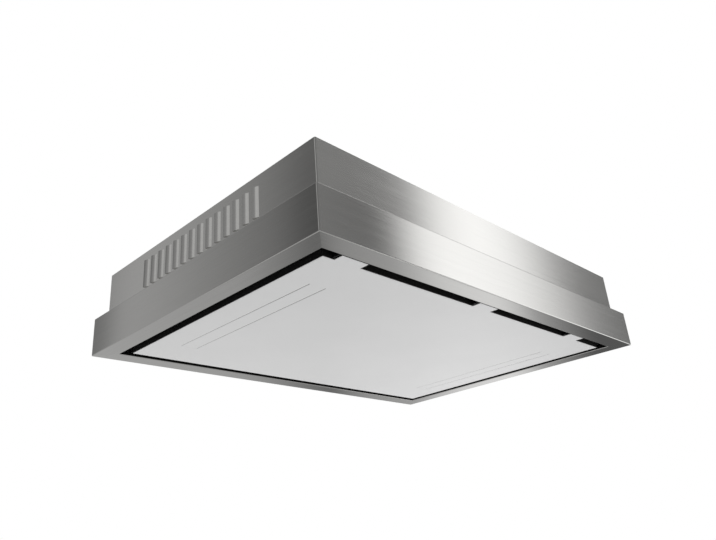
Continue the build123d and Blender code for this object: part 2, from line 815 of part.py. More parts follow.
with BuildPart() as catch_brackets:
    for catch_x in catch_places:
        block(
            (catch_x - catch_width / 2, -return_outer, panel_top + bracket_gap),
            (catch_x + catch_width / 2, -return_outer + leaf_thickness, magnet_top + leaf_thickness),
        )
        block(
            (catch_x - catch_width / 2, strike_y - magnet_depth / 2, magnet_top),
            (catch_x + catch_width / 2, -return_outer + leaf_thickness, magnet_top + leaf_thickness),
        )
catch_brackets.part.label = "catch_brackets"
export_step(catch_brackets.part, "parts/catch_brackets.step")

# ---------------------------------------------------------------- light bars

lens_length = light_window_length - 2 * light_end_joint
lens_width = light_window_width - 2 * light_groove
flange_width = light_window_width + 2 * lens_flange
flange_length = light_window_length + 2 * lens_flange
housing_inner_width = flange_width + 2 * lens_room
housing_inner_length = flange_length + 2 * lens_room
housing_top = panel_top + light_housing_height
strip_top = housing_top - light_wall

with BuildPart() as led_diffusers:
    with BuildSketch(Plane.XY.offset(bottom_z)):
        with Locations(*light_places):
            Rectangle(lens_width, lens_length)
    extrude(amount=sheet)
    with BuildSketch(Plane.XY.offset(panel_top)):
        with Locations(*light_places):
            Rectangle(flange_width, flange_length)
    extrude(amount=light_wall)
led_diffusers.part.label = "led_diffusers"
export_step(led_diffusers.part, "parts/led_diffusers.step")

with BuildPart() as led_housings:
    with BuildSketch(Plane.XY.offset(panel_top)):
        with Locations(*light_places):
            Rectangle(housing_inner_width + 2 * light_wall, housing_inner_length + 2 * light_wall)
    extrude(amount=light_housing_height)
    with BuildSketch(Plane.XY.offset(panel_top)):
        with Locations(*light_places):
            Rectangle(housing_inner_width, housing_inner_length)
    extrude(amount=light_housing_height - light_wall, mode=Mode.SUBTRACT)
led_housings.part.label = "led_housings"
export_step(led_housings.part, "parts/led_housings.step")

with BuildPart() as led_strips:
    with BuildSketch(Plane.XY.offset(strip_top - strip_thickness)):
        with Locations(*light_places):
            Rectangle(strip_width, lens_length)
    extrude(amount=strip_thickness)
    with BuildSketch(Plane.XY.offset(strip_top - strip_thickness - chip_height)):
        for place in light_places:
            with Locations(place):
                with GridLocations(0, lens_length / chip_count, 1, chip_count):
                    Rectangle(chip_size, chip_size)
    extrude(amount=chip_height)
led_strips.part.label = "led_strips"
export_step(led_strips.part, "parts/led_strips.step")

# ---------------------------------------------------------------- blower

# Air space of the scroll and its outlet, seen from above with the fan's axis at the origin: three
# quarter turns of growing radius, then straight to the outlet's mouth.
volute_half = volute_step / 2
volute_radii = [volute_radius + volute_step * i for i in range(3)]
volute_top = volute_half + volute_radii[2]
volute_start = (volute_half - volute_radii[0], -volute_half)
cutoff_bend = (
    (volute_start[0] + cutoff_x) / 2 - cutoff_bulge_x,
    (volute_start[1] + cutoff_y) / 2 + cutoff_bulge_y,
)
with BuildSketch() as volute_plan:
    with BuildLine():
        CenterArc((volute_half, -volute_half), volute_radii[0], 180, 90)
        CenterArc((volute_half, volute_half), volute_radii[1], 270, 90)
        CenterArc((-volute_half, volute_half), volute_radii[2], 0, 90)
        Polyline(
            (-volute_half, volute_top),
            (-volute_outlet, volute_top),
            (-volute_outlet, cutoff_y),
            (cutoff_x, cutoff_y),
        )
        ThreePointArc((cutoff_x, cutoff_y), cutoff_bend, volute_start)
    make_face()

# The same outline with the sheet's thickness round it, cut off level at the mouth.
with BuildSketch() as volute_skin:
    add(volute_plan.sketch)
    offset(amount=blower_sheet)
    with Locations((-volute_outlet - blower_sheet, 0)):
        Rectangle(2 * blower_sheet, 4 * volute_radius, mode=Mode.SUBTRACT)

with BuildPart() as blower_top_plate:
    with BuildSketch(fan_plane(scroll_top)):
        add(volute_skin.sketch)
        with PolarLocations(motor_screw_circle, 4):
            Circle(motor_screw_radius + rivet_hole_clearance, mode=Mode.SUBTRACT)
    extrude(amount=blower_sheet)
blower_top_plate.part.label = "blower_top_plate"
export_step(blower_top_plate.part, "parts/blower_top_plate.step")

with BuildPart() as blower_scroll:
    with BuildSketch(fan_plane(scroll_bottom)):
        add(volute_skin.sketch)
    extrude(amount=scroll_top - scroll_bottom)
    with BuildSketch(fan_plane(scroll_bottom)):
        add(volute_plan.sketch)
    extrude(amount=scroll_top - scroll_bottom, mode=Mode.SUBTRACT)
blower_scroll.part.label = "blower_scroll"
export_step(blower_scroll.part, "parts/blower_scroll.step")

with BuildPart() as blower_base_plate:
    with BuildSketch(fan_plane(blower_underside)):
        add(volute_skin.sketch)
        Circle(throat_radius + bell_radius + fit_clearance, mode=Mode.SUBTRACT)
    extrude(amount=blower_sheet)
blower_base_plate.part.label = "blower_base_plate"
export_step(blower_base_plate.part, "parts/blower_base_plate.step")

# Bell-mouthed ring that leads the air into the impeller's eye.
bell_low = blower_underside - bell_sheet
bell_centre = (throat_radius + bell_radius, bell_low + bell_radius)
with BuildPart() as inlet_ring:
    with BuildSketch(Plane(origin=(fan_x, fan_y, 0), x_dir=(1, 0, 0), z_dir=(0, -1, 0))):
        with BuildLine():
            CenterArc(bell_centre, bell_radius, 180, 90)
            CenterArc(bell_centre, bell_radius - bell_sheet, 180, 90)
            Line((throat_radius, bell_centre[1]), (throat_radius + bell_sheet, bell_centre[1]))
            Line((bell_centre[0], bell_low), (bell_centre[0] + bell_flange, bell_low))
            Line(
                (bell_centre[0] + bell_flange, bell_low),
                (bell_centre[0] + bell_flange, blower_underside),
            )
            Line((bell_centre[0] + bell_flange, blower_underside), (bell_centre[0], blower_underside))
        make_face()
    revolve(axis=Axis((fan_x, fan_y, 0), (0, 0, 1)))
inlet_ring.part.label = "inlet_ring"
export_step(inlet_ring.part, "parts/inlet_ring.step")

# Waisted rubber buffers that hang the blower from the top plate.
isolator_height = top_underside - blower_top
with BuildPart() as blower_isolators:
    for i in range(4):
        turn = math.radians(45 + 90 * i)
        place = (fan_x + isolator_circle * math.cos(turn), fan_y + isolator_circle * math.sin(turn))
        with BuildSketch(Plane(origin=(*place, 0), x_dir=(1, 0, 0), z_dir=(0, -1, 0))):
            with BuildLine():
                Polyline(
                    (isolator_radius, top_underside),
                    (0, top_underside),
                    (0, blower_top),
                    (isolator_radius, blower_top),
                )
                ThreePointArc(
                    (isolator_radius, blower_top),
                    (isolator_waist, blower_top + isolator_height / 2),
                    (isolator_radius, top_underside),
                )
            make_face()
        revolve(axis=Axis((*place, 0), (0, 0, 1)))
blower_isolators.part.label = "blower_isolators"
export_step(blower_isolators.part, "parts/blower_isolators.step")

# ---------------------------------------------------------------- motor

stator_base = scroll_top - stator_flange
stator_bottom = stator_base - stator_height

with BuildPart() as motor_stator:
    with BuildSketch(fan_plane(stator_base)):
        Circle(stator_flange_radius)
        with PolarLocations(motor_screw_circle, 4):
            Circle(motor_screw_radius, mode=Mode.SUBTRACT)
    extrude(amount=stator_flange)
    with BuildSketch(fan_plane(stator_bottom)):
        Circle(stator_radius)
        with PolarLocations(stator_radius - stator_slot_inset, stator_slots):
            Rectangle(stator_slot_length, stator_slot_width, mode=Mode.SUBTRACT)
    extrude(amount=stator_height)
    with BuildSketch(fan_plane(stator_bottom)):
        Circle(bearing_outer)
    extrude(amount=stator_height + stator_flange, mode=Mode.SUBTRACT)
motor_stator.part.label = "motor_stator"
export_step(motor_stator.part, "parts/motor_stator.step")

with BuildPart() as motor_bearings:
    for level in (stator_bottom, scroll_top - bearing_length):
        with BuildSketch(fan_plane(level)):
            Circle(bearing_outer - shaft_clearance)
            Circle(shaft_radius + shaft_clearance, mode=Mode.SUBTRACT)
        extrude(amount=bearing_length)
motor_bearings.part.label = "motor_bearings"
export_step(motor_bearings.part, "parts/motor_bearings.step")

with BuildPart() as motor_screws:
    for i in range(4):
        turn = math.radians(90 * i)
        place = (fan_x + motor_screw_circle * math.cos(turn), fan_y + motor_screw_circle * math.sin(turn))
        with BuildSketch(Plane((*place, stator_base))):
            Circle(motor_screw_radius - shaft_clearance)
        extrude(amount=stator_flange + blower_sheet)
        with BuildSketch(Plane((*place, blower_top))):
            Circle(rivet_head_radius)
        extrude(amount=motor_screw_head)
motor_screws.part.label = "motor_screws"
export_step(motor_screws.part, "parts/motor_screws.step")

rotor_floor = rotor_bottom + rotor_wall
with BuildPart() as rotor_can:
    with BuildSketch(fan_plane(rotor_bottom)):
        Circle(rotor_radius)
    extrude(amount=impeller_top + rotor_flange - rotor_bottom)
    with BuildSketch(fan_plane(impeller_top)):
        Circle(rotor_flange_radius)
    extrude(amount=rotor_flange)
    with BuildSketch(fan_plane(rotor_floor)):
        Circle(rotor_radius - rotor_wall)
    extrude(amount=impeller_top + rotor_flange - rotor_floor, mode=Mode.SUBTRACT)
    with BuildSketch(fan_plane(rotor_bottom)):
        Circle(shaft_radius + shaft_clearance)
    extrude(amount=rotor_wall, mode=Mode.SUBTRACT)
rotor_can.part.label = "rotor_can"
export_step(rotor_can.part, "parts/rotor_can.step")

with BuildPart() as motor_shaft:
    with BuildSketch(fan_plane(rotor_bottom)):
        Circle(shaft_radius)
    extrude(amount=scroll_top - running_gap - rotor_bottom)
    chamfer(motor_shaft.edges().filter_by(GeomType.CIRCLE), shaft_chamfer)
    with BuildSketch(fan_plane(rotor_bottom - collar_height)):
        Circle(shaft_radius + collar_step)
    extrude(amount=collar_height)
motor_shaft.part.label = "motor_shaft"
export_step(motor_shaft.part, "parts/motor_shaft.step")

# Impeller: back plate screwed under the rotor's flange, swept-back blades and a shroud ring.
blade_tip = impeller_radius - blade_tip_inset
with BuildSketch() as blade_plan:
    with BuildLine():
        lean = math.radians(blade_lean)
        root = (blade_root, 0)
        tip = (blade_tip * math.cos(lean), -blade_tip * math.sin(lean))
        belly = ((root[0] + tip[0]) / 2 + blade_bow_x, (root[1] + tip[1]) / 2 + blade_bow_y)
        spine = ThreePointArc(root, belly, tip)
        offset(spine, amount=impeller_sheet, side=Side.LEFT)
    make_face()

with BuildPart() as impeller:
    with BuildSketch(fan_plane(impeller_top - impeller_sheet)):
        Circle(impeller_radius)
        Circle(rotor_radius + running_gap, mode=Mode.SUBTRACT)
    extrude(amount=impeller_sheet)
    with BuildSketch(fan_plane(impeller_bottom)):
        Circle(impeller_radius)
        Circle(impeller_eye, mode=Mode.SUBTRACT)
    extrude(amount=impeller_sheet)
    with BuildSketch(fan_plane(impeller_bottom + impeller_sheet)):
        with PolarLocations(0, blade_count):
            add(blade_plan.sketch)
    extrude(amount=impeller_top - impeller_bottom - 2 * impeller_sheet)
impeller.part.label = "impeller"
export_step(impeller.part, "parts/impeller.step")

# ---------------------------------------------------------------- outlet duct and carbon filter

outlet_low_y = fan_y + cutoff_y
outlet_high_y = fan_y + volute_top
outlet_middle = ((outlet_low_y + outlet_high_y) / 2, (scroll_top + scroll_bottom) / 2)
outlet_size = (outlet_high_y - outlet_low_y, scroll_top - scroll_bottom)
louvre_middle = (louvre_middle_y, louvre_middle_z)
duct_end_size = (duct_width - 2 * duct_lip, duct_height - 2 * duct_sheet)
duct_end_room = (duct_end_size[0] - 2 * duct_sheet, duct_end_size[1] - 2 * duct_sheet)

with BuildPart() as outlet_duct:
    with BuildSketch(Plane.YZ.offset(duct_start)):
        with Locations(outlet_middle):
            Rectangle(outlet_size[0] + 2 * blower_sheet, outlet_size[1] + 2 * blower_sheet)
    with BuildSketch(Plane.YZ.offset(duct_end)):
        with Locations(louvre_middle):
            Rectangle(*duct_end_size)
    loft()
    with BuildSketch(Plane.YZ.offset(duct_start)):
        with Locations(outlet_middle):
            Rectangle(*outlet_size)
    with BuildSketch(Plane.YZ.offset(duct_end)):
        with Locations(louvre_middle):
            Rectangle(*duct_end_room)
    loft(mode=Mode.SUBTRACT)
    with BuildSketch(Plane.YZ.offset(duct_end)):
        with Locations(louvre_middle):
            Rectangle(duct_width, duct_height)
            Rectangle(
                duct_end_room[0] - 2 * duct_sheet,
                duct_end_room[1] - 2 * duct_sheet,
                mode=Mode.SUBTRACT,
            )
    extrude(amount=duct_sheet)
outlet_duct.part.label = "outlet_duct"
export_step(outlet_duct.part, "parts/outlet_duct.step")

with BuildPart() as outlet_gasket:
    with BuildSketch(Plane.YZ.offset(gasket_x)):
        with Locations(louvre_middle):
            Rectangle(duct_width, duct_height)
            Rectangle(duct_width - 2 * carbon_wall, duct_height - 2 * carbon_wall, mode=Mode.SUBTRACT)
    extrude(amount=gasket_thickness)
outlet_gasket.part.label = "outlet_gasket"
export_step(outlet_gasket.part, "parts/outlet_gasket.step")

media_length = duct_width - 2 * carbon_wall
media_height = duct_height - 2 * carbon_wall
with BuildPart() as carbon_filter_frame:
    with BuildSketch(Plane.YZ.offset(carbon_x)):
        with Locations(louvre_middle):
            Rectangle(duct_width, duct_height)
            Rectangle(media_length, media_height, mode=Mode.SUBTRACT)
    extrude(amount=carbon_depth)
    with BuildSketch(Plane.YZ.offset(carbon_x)):
        with Locations(louvre_middle):
            with GridLocations(media_length / (carbon_bars + 1), 0, carbon_bars, 1):
                Rectangle(carbon_wall, media_height)
    extrude(amount=carbon_wall / 2)
carbon_filter_frame.part.label = "carbon_filter_frame"
export_step(carbon_filter_frame.part, "parts/carbon_filter_frame.step")

with BuildPart() as carbon_media:
    with BuildSketch(Plane.YZ.offset(carbon_x + carbon_wall / 2)):
        with Locations(louvre_middle):
            Rectangle(media_length - 2 * fit_clearance, media_height - 2 * fit_clearance)
    extrude(amount=carbon_depth - carbon_wall / 2)
carbon_media.part.label = "carbon_media"
export_step(carbon_media.part, "parts/carbon_media.step")

# ---------------------------------------------------------------- electrics

box_top = top_underside
box_bottom = box_top - box_height
box_ceiling = box_top - box_wall
board_x = box_x - board_offset
lead_z = top_underside - lead_radius - lead_gap

with BuildPart() as control_box:
    with BuildSketch(Plane((box_x, box_y, box_bottom))):
        RectangleRounded(box_length, box_width, box_corner)
    extrude(amount=box_height)
    with BuildSketch(Plane((box_x, box_y, box_bottom))):
        RectangleRounded(box_length - 2 * box_wall, box_width - 2 * box_wall, box_inner_corner)
    extrude(amount=box_height - box_wall, mode=Mode.SUBTRACT)
    with BuildSketch(Plane((board_x, box_y, box_ceiling - standoff_height))):
        with GridLocations(board_length - 2 * standoff_inset, board_width - 2 * standoff_inset, 2, 2):
            Circle(standoff_radius)
    extrude(amount=standoff_height)
    with BuildSketch(Plane((gland_x, box_y, box_ceiling))):
        Circle(gland_radius + fit_clearance)
    extrude(amount=box_wall, mode=Mode.SUBTRACT)
control_box.part.label = "control_box"
export_step(control_box.part, "parts/control_box.step")

lip_inset = 2 * (box_wall + running_gap)
with BuildPart() as control_lid:
    with BuildSketch(Plane((box_x, box_y, box_bottom - lid_thickness))):
        RectangleRounded(box_length, box_width, box_corner)
    extrude(amount=lid_thickness)
    with BuildSketch(Plane((box_x, box_y, box_bottom))):
        RectangleRounded(box_length - lip_inset, box_width - lip_inset, box_inner_corner)
        Rectangle(
            box_length - lip_inset - 2 * lid_lip,
            box_width - lip_inset - 2 * lid_lip,
            mode=Mode.SUBTRACT,
        )
    extrude(amount=lid_thickness)
control_lid.part.label = "control_lid"
export_step(control_lid.part, "parts/control_lid.step")

board_top = box_ceiling - standoff_height
board_under = board_top - board_thickness


def board_plane(place, depth):
    """Level plane at a place on the board, as far under it as a component hangs down."""
    return Plane((board_x + place[0], box_y + place[1], board_under - depth))


with BuildPart() as control_board:
    with BuildSketch(Plane((board_x, box_y, board_under))):
        Rectangle(board_length, board_width)
    extrude(amount=board_thickness)
    with BuildSketch(board_plane(transformer_place, transformer_size[2])):
        Rectangle(transformer_size[0], transformer_size[1])
    extrude(amount=transformer_size[2])
    with BuildSketch(board_plane(relay_place, relay_size[2])):
        with GridLocations(0, relay_spacing, 1, 2):
            Rectangle(relay_size[0], relay_size[1])
    extrude(amount=relay_size[2])
    with BuildSketch(board_plane(reservoir_place, reservoir_height)):
        with GridLocations(reservoir_spacing, 0, 2, 1):
            Circle(reservoir_radius)
    extrude(amount=reservoir_height)
control_board.part.label = "control_board"
export_step(control_board.part, "parts/control_board.step")

capacitor_middle_y = box_y - box_width / 2 + box_wall + capacitor_setback + capacitor_length / 2
with BuildPart() as run_capacitor:
    with BuildSketch(Plane.XZ.offset(-(capacitor_middle_y + capacitor_length / 2))):
        with Locations((gland_x, box_ceiling - capacitor_radius - capacitor_gap)):
            Circle(capacitor_radius)
    extrude(amount=capacitor_length)
    fillet(run_capacitor.edges().filter_by(GeomType.CIRCLE), capacitor_edge)
    block(
        (gland_x - saddle_width / 2, capacitor_middle_y - saddle_length / 2, box_ceiling - saddle_height),
        (gland_x + saddle_width / 2, capacitor_middle_y + saddle_length / 2, box_ceiling),
    )
run_capacitor.part.label = "run_capacitor"
export_step(run_capacitor.part, "parts/run_capacitor.step")

terminal_y = box_y + gland_nut_radius + terminal_gap + terminal_width / 2
with BuildPart() as terminal_block:
    with BuildSketch(Plane((gland_x, terminal_y, box_ceiling - terminal_height))):
        Rectangle(terminal_length, terminal_width)
    extrude(amount=terminal_height)
    with BuildSketch(Plane((gland_x, terminal_y, box_ceiling - terminal_height))):
        with GridLocations(0, terminal_width / terminal_poles, 1, terminal_poles):
            Circle(terminal_hole_radius)
    extrude(amount=terminal_hole_depth, mode=Mode.SUBTRACT)
terminal_block.part.label = "terminal_block"
export_step(terminal_block.part, "parts/terminal_block.step")

with BuildPart() as cable_gland:
    with BuildSketch(Plane((gland_x, box_y, -gland_length))):
        Circle(gland_radius)
    extrude(amount=gland_length)
    with BuildSketch(Plane((gland_x, box_y, box_ceiling - gland_nut))):
        RegularPolygon(gland_nut_radius, 6)
    extrude(amount=gland_nut)
    with BuildSketch(Plane((gland_x, box_y, -gland_length))):
        Circle(gland_bore)
    extrude(amount=gland_length, mode=Mode.SUBTRACT)
cable_gland.part.label = "cable_gland"
export_step(cable_gland.part, "parts/cable_gland.step")

with BuildPart() as led_driver:
    with BuildSketch(Plane((box_x, driver_y, top_underside - driver_height))):
        RectangleRounded(driver_length, driver_width, driver_corner)
    extrude(amount=driver_height)
    with BuildSketch(Plane((box_x, driver_y, top_underside - driver_foot_thickness))):
        SlotOverall(driver_length + 2 * driver_foot_reach, driver_foot_width)
        with GridLocations(driver_length + driver_foot_reach, 0, 2, 1):
            Circle(driver_foot_hole_radius, mode=Mode.SUBTRACT)
    extrude(amount=driver_foot_thickness)
    fillet(led_driver.faces().sort_by(Axis.Z)[0].edges(), driver_edge)
led_driver.part.label = "led_driver"
export_step(led_driver.part, "parts/led_driver.step")

# ---------------------------------------------------------------- motor lead

# The lead runs from the control box to the motor's connector, held under the top plate by two
# clips. Its one bend is as large as its two runs allow.
connector_x = fan_x + connector_offset_x
connector_y = fan_y + connector_offset_y
with BuildPart() as motor_connector:
    block(
        (connector_x - connector_width / 2, connector_y - connector_length / 2, blower_top),
        (
            connector_x + connector_width / 2,
            connector_y + connector_length / 2,
            top_underside - connector_gap,
        ),
    )
motor_connector.part.label = "motor_connector"
export_step(motor_connector.part, "parts/motor_connector.step")

lead_start = (box_x - box_length / 2, box_y - lead_setback, lead_z)
lead_corner = (connector_x, box_y - lead_setback, lead_z)
lead_end = (connector_x, connector_y + connector_length / 2, lead_z)
lead_runs = (lead_start[0] - lead_corner[0], lead_corner[1] - lead_end[1])
lead_bend = lead_bend_share * min(lead_runs)
with BuildPart() as motor_lead:
    with BuildLine() as lead_path:
        FilletPolyline(lead_start, lead_corner, lead_end, radius=lead_bend)
    with BuildSketch(Plane(origin=lead_start, z_dir=(-1, 0, 0))):
        Circle(lead_radius)
    sweep()
motor_lead.part.label = "motor_lead"
export_step(motor_lead.part, "parts/motor_lead.step")
lead_length = sum(edge.length for edge in lead_path.edges())
lead_volume = math.pi * lead_radius**2 * lead_length
print(f"motor lead: bend radius {lead_bend:.1f} mm, length {lead_length:.1f} mm")
print(f"motor lead: volume {motor_lead.part.volume:.0f} mm3, section times length {lead_volume:.0f} mm3")

# Saddle clips: a strap under the lead, with a foot on one side against the top plate.
clip_room = lead_radius + running_gap
clip_low = lead_z - clip_room
clip_places = (lead_start[0] - clip_box_gap, lead_corner[0] + lead_bend + clip_bend_gap)
with BuildPart() as lead_clips:
    for clip_x in clip_places:
        near_x = clip_x - clip_width / 2
        far_x = clip_x + clip_width / 2
        low_y = lead_start[1] - clip_room
        high_y = lead_start[1] + clip_room
        block(
            (near_x, low_y - clip_thickness - clip_foot, top_underside - clip_thickness),
            (far_x, low_y, top_underside),
        )
        block(
            (near_x, low_y - clip_thickness, clip_low - clip_thickness),
            (far_x, low_y, top_underside),
        )
        block(
            (near_x, high_y, clip_low - clip_thickness),
            (far_x, high_y + clip_thickness, top_underside),
        )
        block(
            (near_x, low_y, clip_low - clip_thickness),
            (far_x, high_y, clip_low),
        )
lead_clips.part.label = "lead_clips"
export_step(lead_clips.part, "parts/lead_clips.step")
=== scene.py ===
import json
import math

import bmesh
import bpy
from bpy.props import FloatProperty, FloatVectorProperty, IntProperty, PointerProperty
from mathutils import Matrix, Quaternion, Vector
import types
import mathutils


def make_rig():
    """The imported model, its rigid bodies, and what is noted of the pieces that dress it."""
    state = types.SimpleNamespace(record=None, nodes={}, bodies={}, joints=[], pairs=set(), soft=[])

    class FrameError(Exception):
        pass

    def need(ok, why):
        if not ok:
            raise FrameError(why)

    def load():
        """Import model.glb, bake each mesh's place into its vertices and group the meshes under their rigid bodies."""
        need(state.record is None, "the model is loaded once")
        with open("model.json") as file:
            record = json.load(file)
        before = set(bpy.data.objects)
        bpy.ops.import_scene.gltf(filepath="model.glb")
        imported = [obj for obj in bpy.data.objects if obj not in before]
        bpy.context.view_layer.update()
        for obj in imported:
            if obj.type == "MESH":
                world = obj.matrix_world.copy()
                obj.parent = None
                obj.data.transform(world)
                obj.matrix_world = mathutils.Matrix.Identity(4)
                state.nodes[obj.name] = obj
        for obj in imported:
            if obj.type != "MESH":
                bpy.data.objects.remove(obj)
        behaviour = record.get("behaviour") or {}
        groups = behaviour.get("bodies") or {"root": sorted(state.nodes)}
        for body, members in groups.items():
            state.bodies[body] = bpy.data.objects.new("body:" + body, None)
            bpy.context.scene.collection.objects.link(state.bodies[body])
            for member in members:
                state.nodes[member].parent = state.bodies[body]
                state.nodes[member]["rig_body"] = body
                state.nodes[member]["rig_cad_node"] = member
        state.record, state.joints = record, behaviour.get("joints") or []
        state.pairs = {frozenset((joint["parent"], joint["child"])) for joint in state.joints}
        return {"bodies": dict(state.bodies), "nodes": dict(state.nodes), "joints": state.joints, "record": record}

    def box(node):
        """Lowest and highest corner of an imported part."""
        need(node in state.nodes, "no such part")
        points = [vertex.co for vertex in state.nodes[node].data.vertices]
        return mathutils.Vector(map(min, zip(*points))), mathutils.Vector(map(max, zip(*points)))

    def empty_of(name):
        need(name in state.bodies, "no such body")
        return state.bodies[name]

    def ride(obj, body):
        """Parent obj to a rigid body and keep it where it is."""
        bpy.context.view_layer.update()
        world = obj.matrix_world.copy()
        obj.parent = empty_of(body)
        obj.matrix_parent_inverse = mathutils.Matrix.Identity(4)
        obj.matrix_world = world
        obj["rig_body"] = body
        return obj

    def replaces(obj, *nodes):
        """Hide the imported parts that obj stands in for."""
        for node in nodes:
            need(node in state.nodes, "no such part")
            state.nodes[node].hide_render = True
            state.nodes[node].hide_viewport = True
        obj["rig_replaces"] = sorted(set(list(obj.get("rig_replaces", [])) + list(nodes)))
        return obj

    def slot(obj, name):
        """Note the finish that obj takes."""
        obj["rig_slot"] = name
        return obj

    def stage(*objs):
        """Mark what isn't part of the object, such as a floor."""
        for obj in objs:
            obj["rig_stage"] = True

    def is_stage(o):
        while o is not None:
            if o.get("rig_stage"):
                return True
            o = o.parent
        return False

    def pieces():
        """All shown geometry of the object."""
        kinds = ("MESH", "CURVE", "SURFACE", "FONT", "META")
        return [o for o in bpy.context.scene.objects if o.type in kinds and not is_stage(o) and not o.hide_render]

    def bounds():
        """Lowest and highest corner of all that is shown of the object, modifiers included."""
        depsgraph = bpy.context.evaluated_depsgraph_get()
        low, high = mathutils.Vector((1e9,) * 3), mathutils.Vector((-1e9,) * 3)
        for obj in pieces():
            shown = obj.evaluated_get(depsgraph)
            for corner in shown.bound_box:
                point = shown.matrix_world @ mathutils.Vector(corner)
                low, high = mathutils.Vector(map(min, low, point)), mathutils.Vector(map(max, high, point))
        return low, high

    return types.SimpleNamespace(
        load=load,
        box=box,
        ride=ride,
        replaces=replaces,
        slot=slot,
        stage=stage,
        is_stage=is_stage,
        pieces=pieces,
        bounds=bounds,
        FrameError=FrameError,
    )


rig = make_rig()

bl_info = {
    "name": "Ceiling hood dressing",
    "version": (1, 0, 0),
    "blender": (4, 5, 0),
    "location": "3D View > Sidebar > Hood",
    "description": "Finishes, fittings and studio for a ceiling range hood with a hinged suction panel",
    "category": "Object",
}

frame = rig.load()
CAD_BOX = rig.bounds()
MM = 0.001
# Points of a new shape that lie closer than this are one point.
SAME_POINT = 0.002 * MM
# Nearly all values of a noise lie in the first of these bands, and most of them in the second.
NOISE_BAND = (0.3, 0.7)
NOISE_CORE = (0.35, 0.65)


# ---------------------------------------------------------------- settings


class HoodSteel(bpy.types.PropertyGroup):
    """Brushed sheet of the canopy and the casing."""

    colour: FloatVectorProperty(
        name="Steel",
        description="Colour of the brushed sheet",
        subtype="COLOR",
        size=3,
        min=0,
        max=1,
        default=(0.62, 0.615, 0.60),
    )
    roughness: FloatProperty(
        name="Roughness",
        description="Mean roughness of the brushed sheet",
        subtype="FACTOR",
        min=0,
        max=1,
        default=0.145,
    )
    # Painted shade: the canopy's steel is a darker copy of the casing's, standing in for the darker reflections the
    # canopy catches.
    canopy_shade_tone: FloatProperty(
        name="Canopy tone",
        description="Colour of the canopy's sheet as a share of the casing's",
        subtype="FACTOR",
        min=0,
        max=1,
        default=0.90,
    )
    canopy_bow: FloatProperty(
        name="Canopy bow",
        description="Turn for each metre along the canopy's long sides, drawn in between the corners",
        subtype="ANGLE",
        unit="ROTATION",
        default=math.radians(3.0),
    )
    anisotropy: FloatProperty(
        name="Anisotropy",
        description="How far the grain draws a reflection out across itself",
        subtype="FACTOR",
        min=0,
        max=1,
        default=0.85,
    )
    grain: FloatProperty(
        name="Grain width",
        description="Width of one brushed line",
        subtype="DISTANCE",
        unit="LENGTH",
        default=0.4 * MM,
    )


class HoodPanel(bpy.types.PropertyGroup):
    """Powder-coated suction panel and its light bars."""

    colour: FloatVectorProperty(
        name="Coating",
        description="Colour of the powder coat",
        subtype="COLOR",
        size=3,
        min=0,
        max=1,
        default=(0.80, 0.80, 0.80),
    )
    peel: FloatProperty(
        name="Orange peel",
        description="Size of the coat's fine waves",
        subtype="DISTANCE",
        unit="LENGTH",
        default=1.6 * MM,
    )


class HoodFilter(bpy.types.PropertyGroup):
    """Expanded mesh and folded frames of the grease filters."""

    guard_length: FloatProperty(
        name="Guard diamond length",
        description="Long way of the outer sheet's diamonds",
        subtype="DISTANCE",
        unit="LENGTH",
        default=16 * MM,
    )
    core_length: FloatProperty(
        name="Core diamond length",
        description="Long way of the inner sheet's diamonds",
        subtype="DISTANCE",
        unit="LENGTH",
        default=11 * MM,
    )
    diamond_share: FloatProperty(
        name="Diamond share",
        description="Short way of a diamond as a share of its long way",
        subtype="FACTOR",
        min=0.2,
        max=1,
        default=0.56,
    )
    strand: FloatProperty(
        name="Strand",
        description="Thickness of the mesh's strands",
        subtype="DISTANCE",
        unit="LENGTH",
        default=1.1 * MM,
    )
    hem: FloatProperty(
        name="Hem",
        description="Rounding of the folded frame's edges",
        subtype="DISTANCE",
        unit="LENGTH",
        default=1.2 * MM,
    )


class HoodFittings(bpy.types.PropertyGroup):
    """Rivets, screws, latches and seals."""

    seal: FloatProperty(
        name="Seal",
        description="Thickness of the rubber profile on the panel's upturned edge",
        subtype="DISTANCE",
        unit="LENGTH",
        default=1.0 * MM,
    )
    recess: FloatProperty(
        name="Screw recess",
        description="Depth of the cross in a screw's head",
        subtype="DISTANCE",
        unit="LENGTH",
        default=1.2 * MM,
    )
    rib_count: IntProperty(name="Latch ribs", description="Finger ribs on a latch's thumb plate", default=5)


class HoodStudio(bpy.types.PropertyGroup):
    """Camera, floor and light."""

    camera_place: FloatVectorProperty(
        name="Camera",
        description="Where the camera stands",
        subtype="TRANSLATION",
        unit="LENGTH",
        size=3,
        default=(-1.0704, -0.9538, -0.6012),
    )
    camera_target: FloatVectorProperty(
        name="Target",
        description="Point in the middle of the picture",
        subtype="TRANSLATION",
        unit="LENGTH",
        size=3,
        default=(-0.2020, -0.1366, -0.0834),
    )
    camera_roll: FloatProperty(
        name="Roll",
        description="Turn of the camera about its own axis",
        subtype="ANGLE",
        unit="ROTATION",
        default=math.radians(-4.62),
    )
    lens: FloatProperty(
        name="Lens",
        description="Focal length on a sensor 36 mm wide",
        subtype="DISTANCE_CAMERA",
        unit="CAMERA",
        default=33.63,
    )
    floor_level: FloatProperty(
        name="Floor",
        description="Height of the floor under the ceiling plane",
        subtype="DISTANCE",
        unit="LENGTH",
        default=-2.3,
    )
    floor_radius: FloatProperty(
        name="Floor radius",
        description="Radius of the round pale floor",
        subtype="DISTANCE",
        unit="LENGTH",
        default=2.6,
    )
    panel_light: FloatProperty(
        name="Light from below",
        description="Power of the soft light that faces the suction panel",
        subtype="POWER",
        unit="POWER",
        default=12.0,
    )
    ceiling_light: FloatProperty(
        name="Light from above",
        description="Power of the wide soft light over the hood",
        subtype="POWER",
        unit="POWER",
        default=60.0,
    )
    fill: FloatProperty(
        name="Fill",
        description="Even light from all sides on matt surfaces",
        min=0,
        default=0.44,
    )


